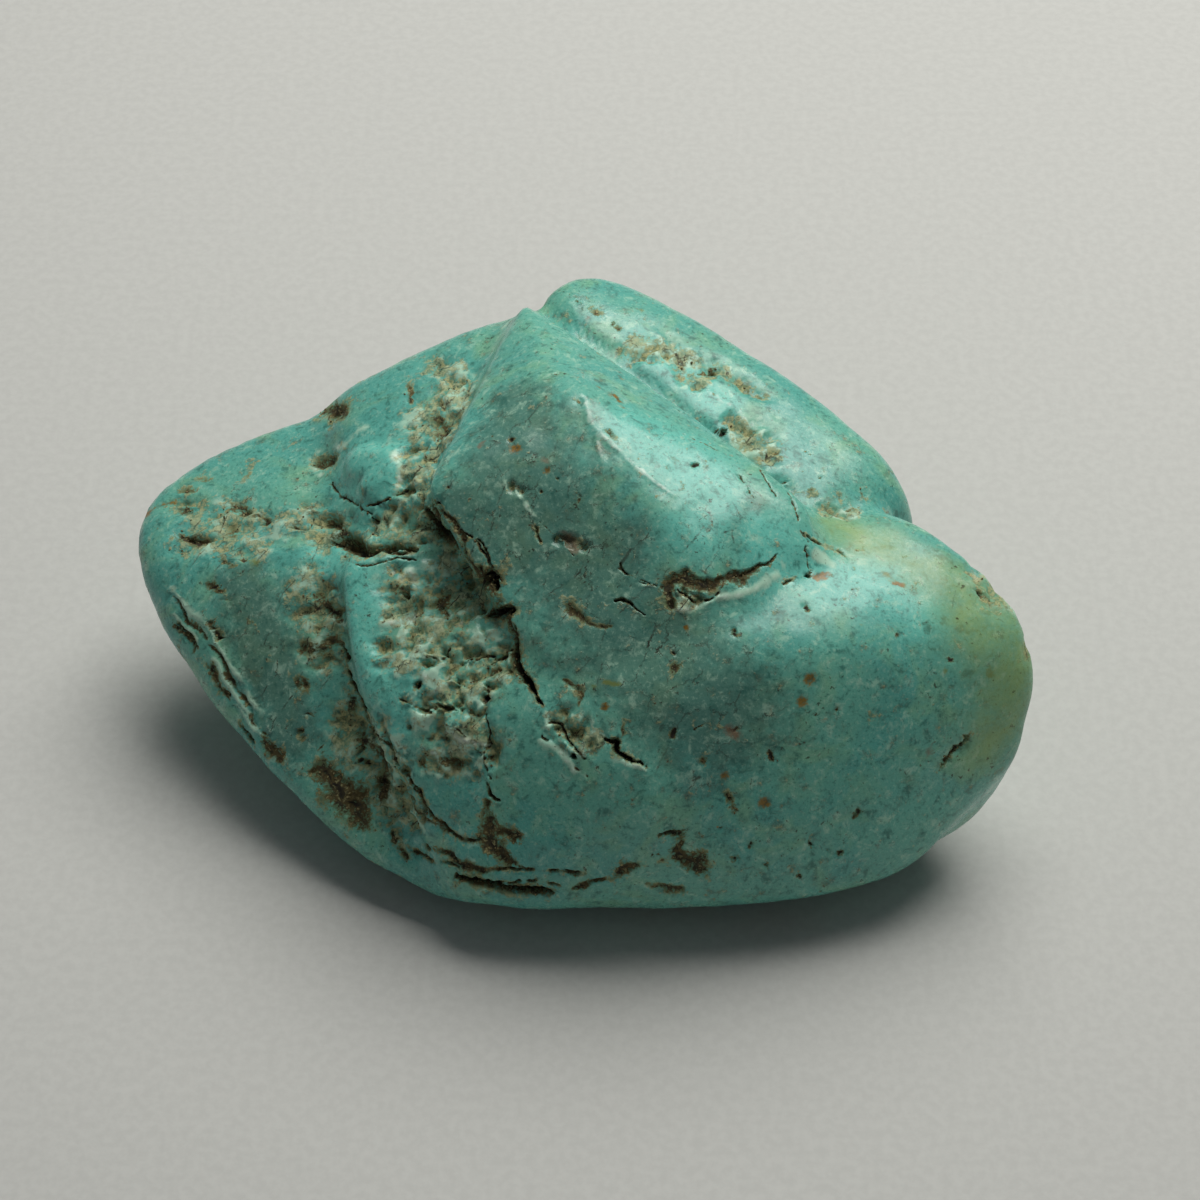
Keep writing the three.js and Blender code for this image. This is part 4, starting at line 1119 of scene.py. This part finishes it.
def crumbTree(material):
    tree = bpy.data.node_groups.new("scatterCrumbs", "GeometryNodeTree")
    sockets = tree.interface
    sockets.new_socket("Geometry", in_out="INPUT", socket_type="NodeSocketGeometry")
    sockets.new_socket("Density", in_out="INPUT", socket_type="NodeSocketFloat")
    sockets.new_socket("Radius", in_out="INPUT", socket_type="NodeSocketFloat")
    sockets.new_socket("Seed", in_out="INPUT", socket_type="NodeSocketInt")
    sockets.new_socket("Geometry", in_out="OUTPUT", socket_type="NodeSocketGeometry")
    given = tree.nodes.new("NodeGroupInput").outputs
    where = tree.nodes.new("GeometryNodeInputNamedAttribute")
    where.data_type = "FLOAT"
    where.inputs["Name"].default_value = "crumbs"
    scatter = tree.nodes.new("GeometryNodeDistributePointsOnFaces")
    feed(tree, scatter.inputs["Mesh"], given["Geometry"])
    feed(tree, scatter.inputs["Density"], times(tree, given["Density"], where.outputs["Attribute"]))
    feed(tree, scatter.inputs["Seed"], given["Seed"])
    crumb = tree.nodes.new("GeometryNodeMeshIcoSphere")
    crumb.inputs["Subdivisions"].default_value = 1
    feed(tree, crumb.inputs["Radius"], given["Radius"])
    turn = tree.nodes.new("FunctionNodeRandomValue")
    turn.data_type = "FLOAT_VECTOR"
    turn.inputs[1].default_value = (2 * math.pi,) * 3
    feed(tree, turn.inputs["Seed"], given["Seed"])
    size = tree.nodes.new("FunctionNodeRandomValue")
    size.data_type = "FLOAT_VECTOR"
    size.inputs[0].default_value = (crumbs["smallest"],) * 3
    size.inputs[1].default_value = (crumbs["largest"],) * 3
    copies = tree.nodes.new("GeometryNodeInstanceOnPoints")
    feed(tree, copies.inputs["Points"], scatter.outputs["Points"])
    feed(tree, copies.inputs["Instance"], crumb.outputs["Mesh"])
    feed(tree, copies.inputs["Rotation"], turn.outputs[0])
    feed(tree, copies.inputs["Scale"], size.outputs[0])
    real = tree.nodes.new("GeometryNodeRealizeInstances")
    feed(tree, real.inputs["Geometry"], copies.outputs["Instances"])
    painted = tree.nodes.new("GeometryNodeSetMaterial")
    feed(tree, painted.inputs["Geometry"], real.outputs["Geometry"])
    painted.inputs["Material"].default_value = material
    finished = tree.nodes.new("NodeGroupOutput")
    feed(tree, finished.inputs["Geometry"], painted.outputs["Geometry"])
    return tree


def makeCrumbs(ground):
    mesh = ground.copy()
    mesh.name = "matrixCrumbs"
    piece = place(mesh)
    modifier = piece.modifiers.new("scatter", "NODES")
    modifier.node_group = crumbTree(crumbMaterial())
    values = {
        "Density": crumbs["perSquareMillimetre"] / metre**2,
        "Radius": crumbs["radius"] * metre,
        "Seed": crumbs["seed"],
    }
    for socket in modifier.node_group.interface.items_tree:
        if socket.in_out == "INPUT" and socket.name in values:
            modifier[socket.identifier] = values[socket.name]
    finished = piece.evaluated_get(bpy.context.evaluated_depsgraph_get())
    solid = bpy.data.meshes.new_from_object(finished)
    piece.modifiers.remove(modifier)
    piece.data = solid
    bpy.data.meshes.remove(mesh)
    solid.name = "matrixCrumbs"
    print("crumbs:", len(solid.polygons), "triangles")
    return piece


floorLook = {"colour": (196, 197, 195), "shade": 0.93, "toothSize": 0.55, "size": 1.6, "roughness": 0.9}


def makeFloor():
    material, tree, shader = newMaterial("paper")
    tooth = grain(tree, millimetres(tree), floorLook["toothSize"], 3, 0.6)
    pale = linear(floorLook["colour"])
    shade = tuple(c * floorLook["shade"] for c in pale[:3]) + (1.0,)
    feed(tree, shader.inputs["Base Color"], blend(tree, ramp(tree, tooth, 0.3, 0.7), shade, pale))
    shader.inputs["Roughness"].default_value = floorLook["roughness"]
    half = floorLook["size"] / 2
    corners = [(-half, -half, 0), (half, -half, 0), (half, half, 0), (-half, half, 0)]
    mesh = bpy.data.meshes.new("floor")
    mesh.from_pydata(corners, [], [(0, 1, 2, 3)])
    mesh.materials.append(material)
    place(mesh)


def makeCamera():
    _, _, back = viewDirections()
    data = bpy.data.cameras.new("camera")
    data.lens, data.sensor_width = display["lens"], display["sensor"]
    data.clip_start, data.clip_end = 0.01, 10
    camera = bpy.data.objects.new("camera", data)
    camera.location = (np.array(display["aim"]) + back * display["distance"]) * metre
    camera.rotation_mode = "QUATERNION"
    camera.rotation_quaternion = Vector(-back).to_track_quat("-Z", "Y")
    bpy.context.scene.collection.objects.link(camera)
    bpy.context.scene.camera = camera


keyLook = {
    "azimuth": 156,
    "elevation": 60,
    "distance": 0.3,
    "size": 0.24,
    "power": 1.02,  # watts
    "colour": (255, 253, 246),
}
skyLook = {"colour": (232, 236, 240), "strength": 0.13}


def makeLights():
    data = bpy.data.lights.new("key", "AREA")
    data.size, data.energy, data.color = keyLook["size"], keyLook["power"], linear(keyLook["colour"])[:3]
    light = bpy.data.objects.new("key", data)
    towards = Vector(directionTo(keyLook))
    light.location = towards * keyLook["distance"]
    light.rotation_mode = "QUATERNION"
    light.rotation_quaternion = towards.to_track_quat("Z", "Y")
    bpy.context.scene.collection.objects.link(light)
    world = bpy.data.worlds.new("studio")
    world.use_nodes = True
    background = world.node_tree.nodes["Background"]
    background.inputs["Color"].default_value = linear(skyLook["colour"])
    background.inputs["Strength"].default_value = skyLook["strength"]
    bpy.context.scene.world = world


makeCamera()
stone = makeStone()
stone.data.materials.append(turquoiseMaterial())
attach(stone, "root")
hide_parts("turquoise_nugget")
crumbPiece = makeCrumbs(stone.data)
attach(crumbPiece, "root")
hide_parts("turquoise_nugget")
makeFloor()
makeLights()
bpy.context.scene.view_settings.view_transform = "Standard"
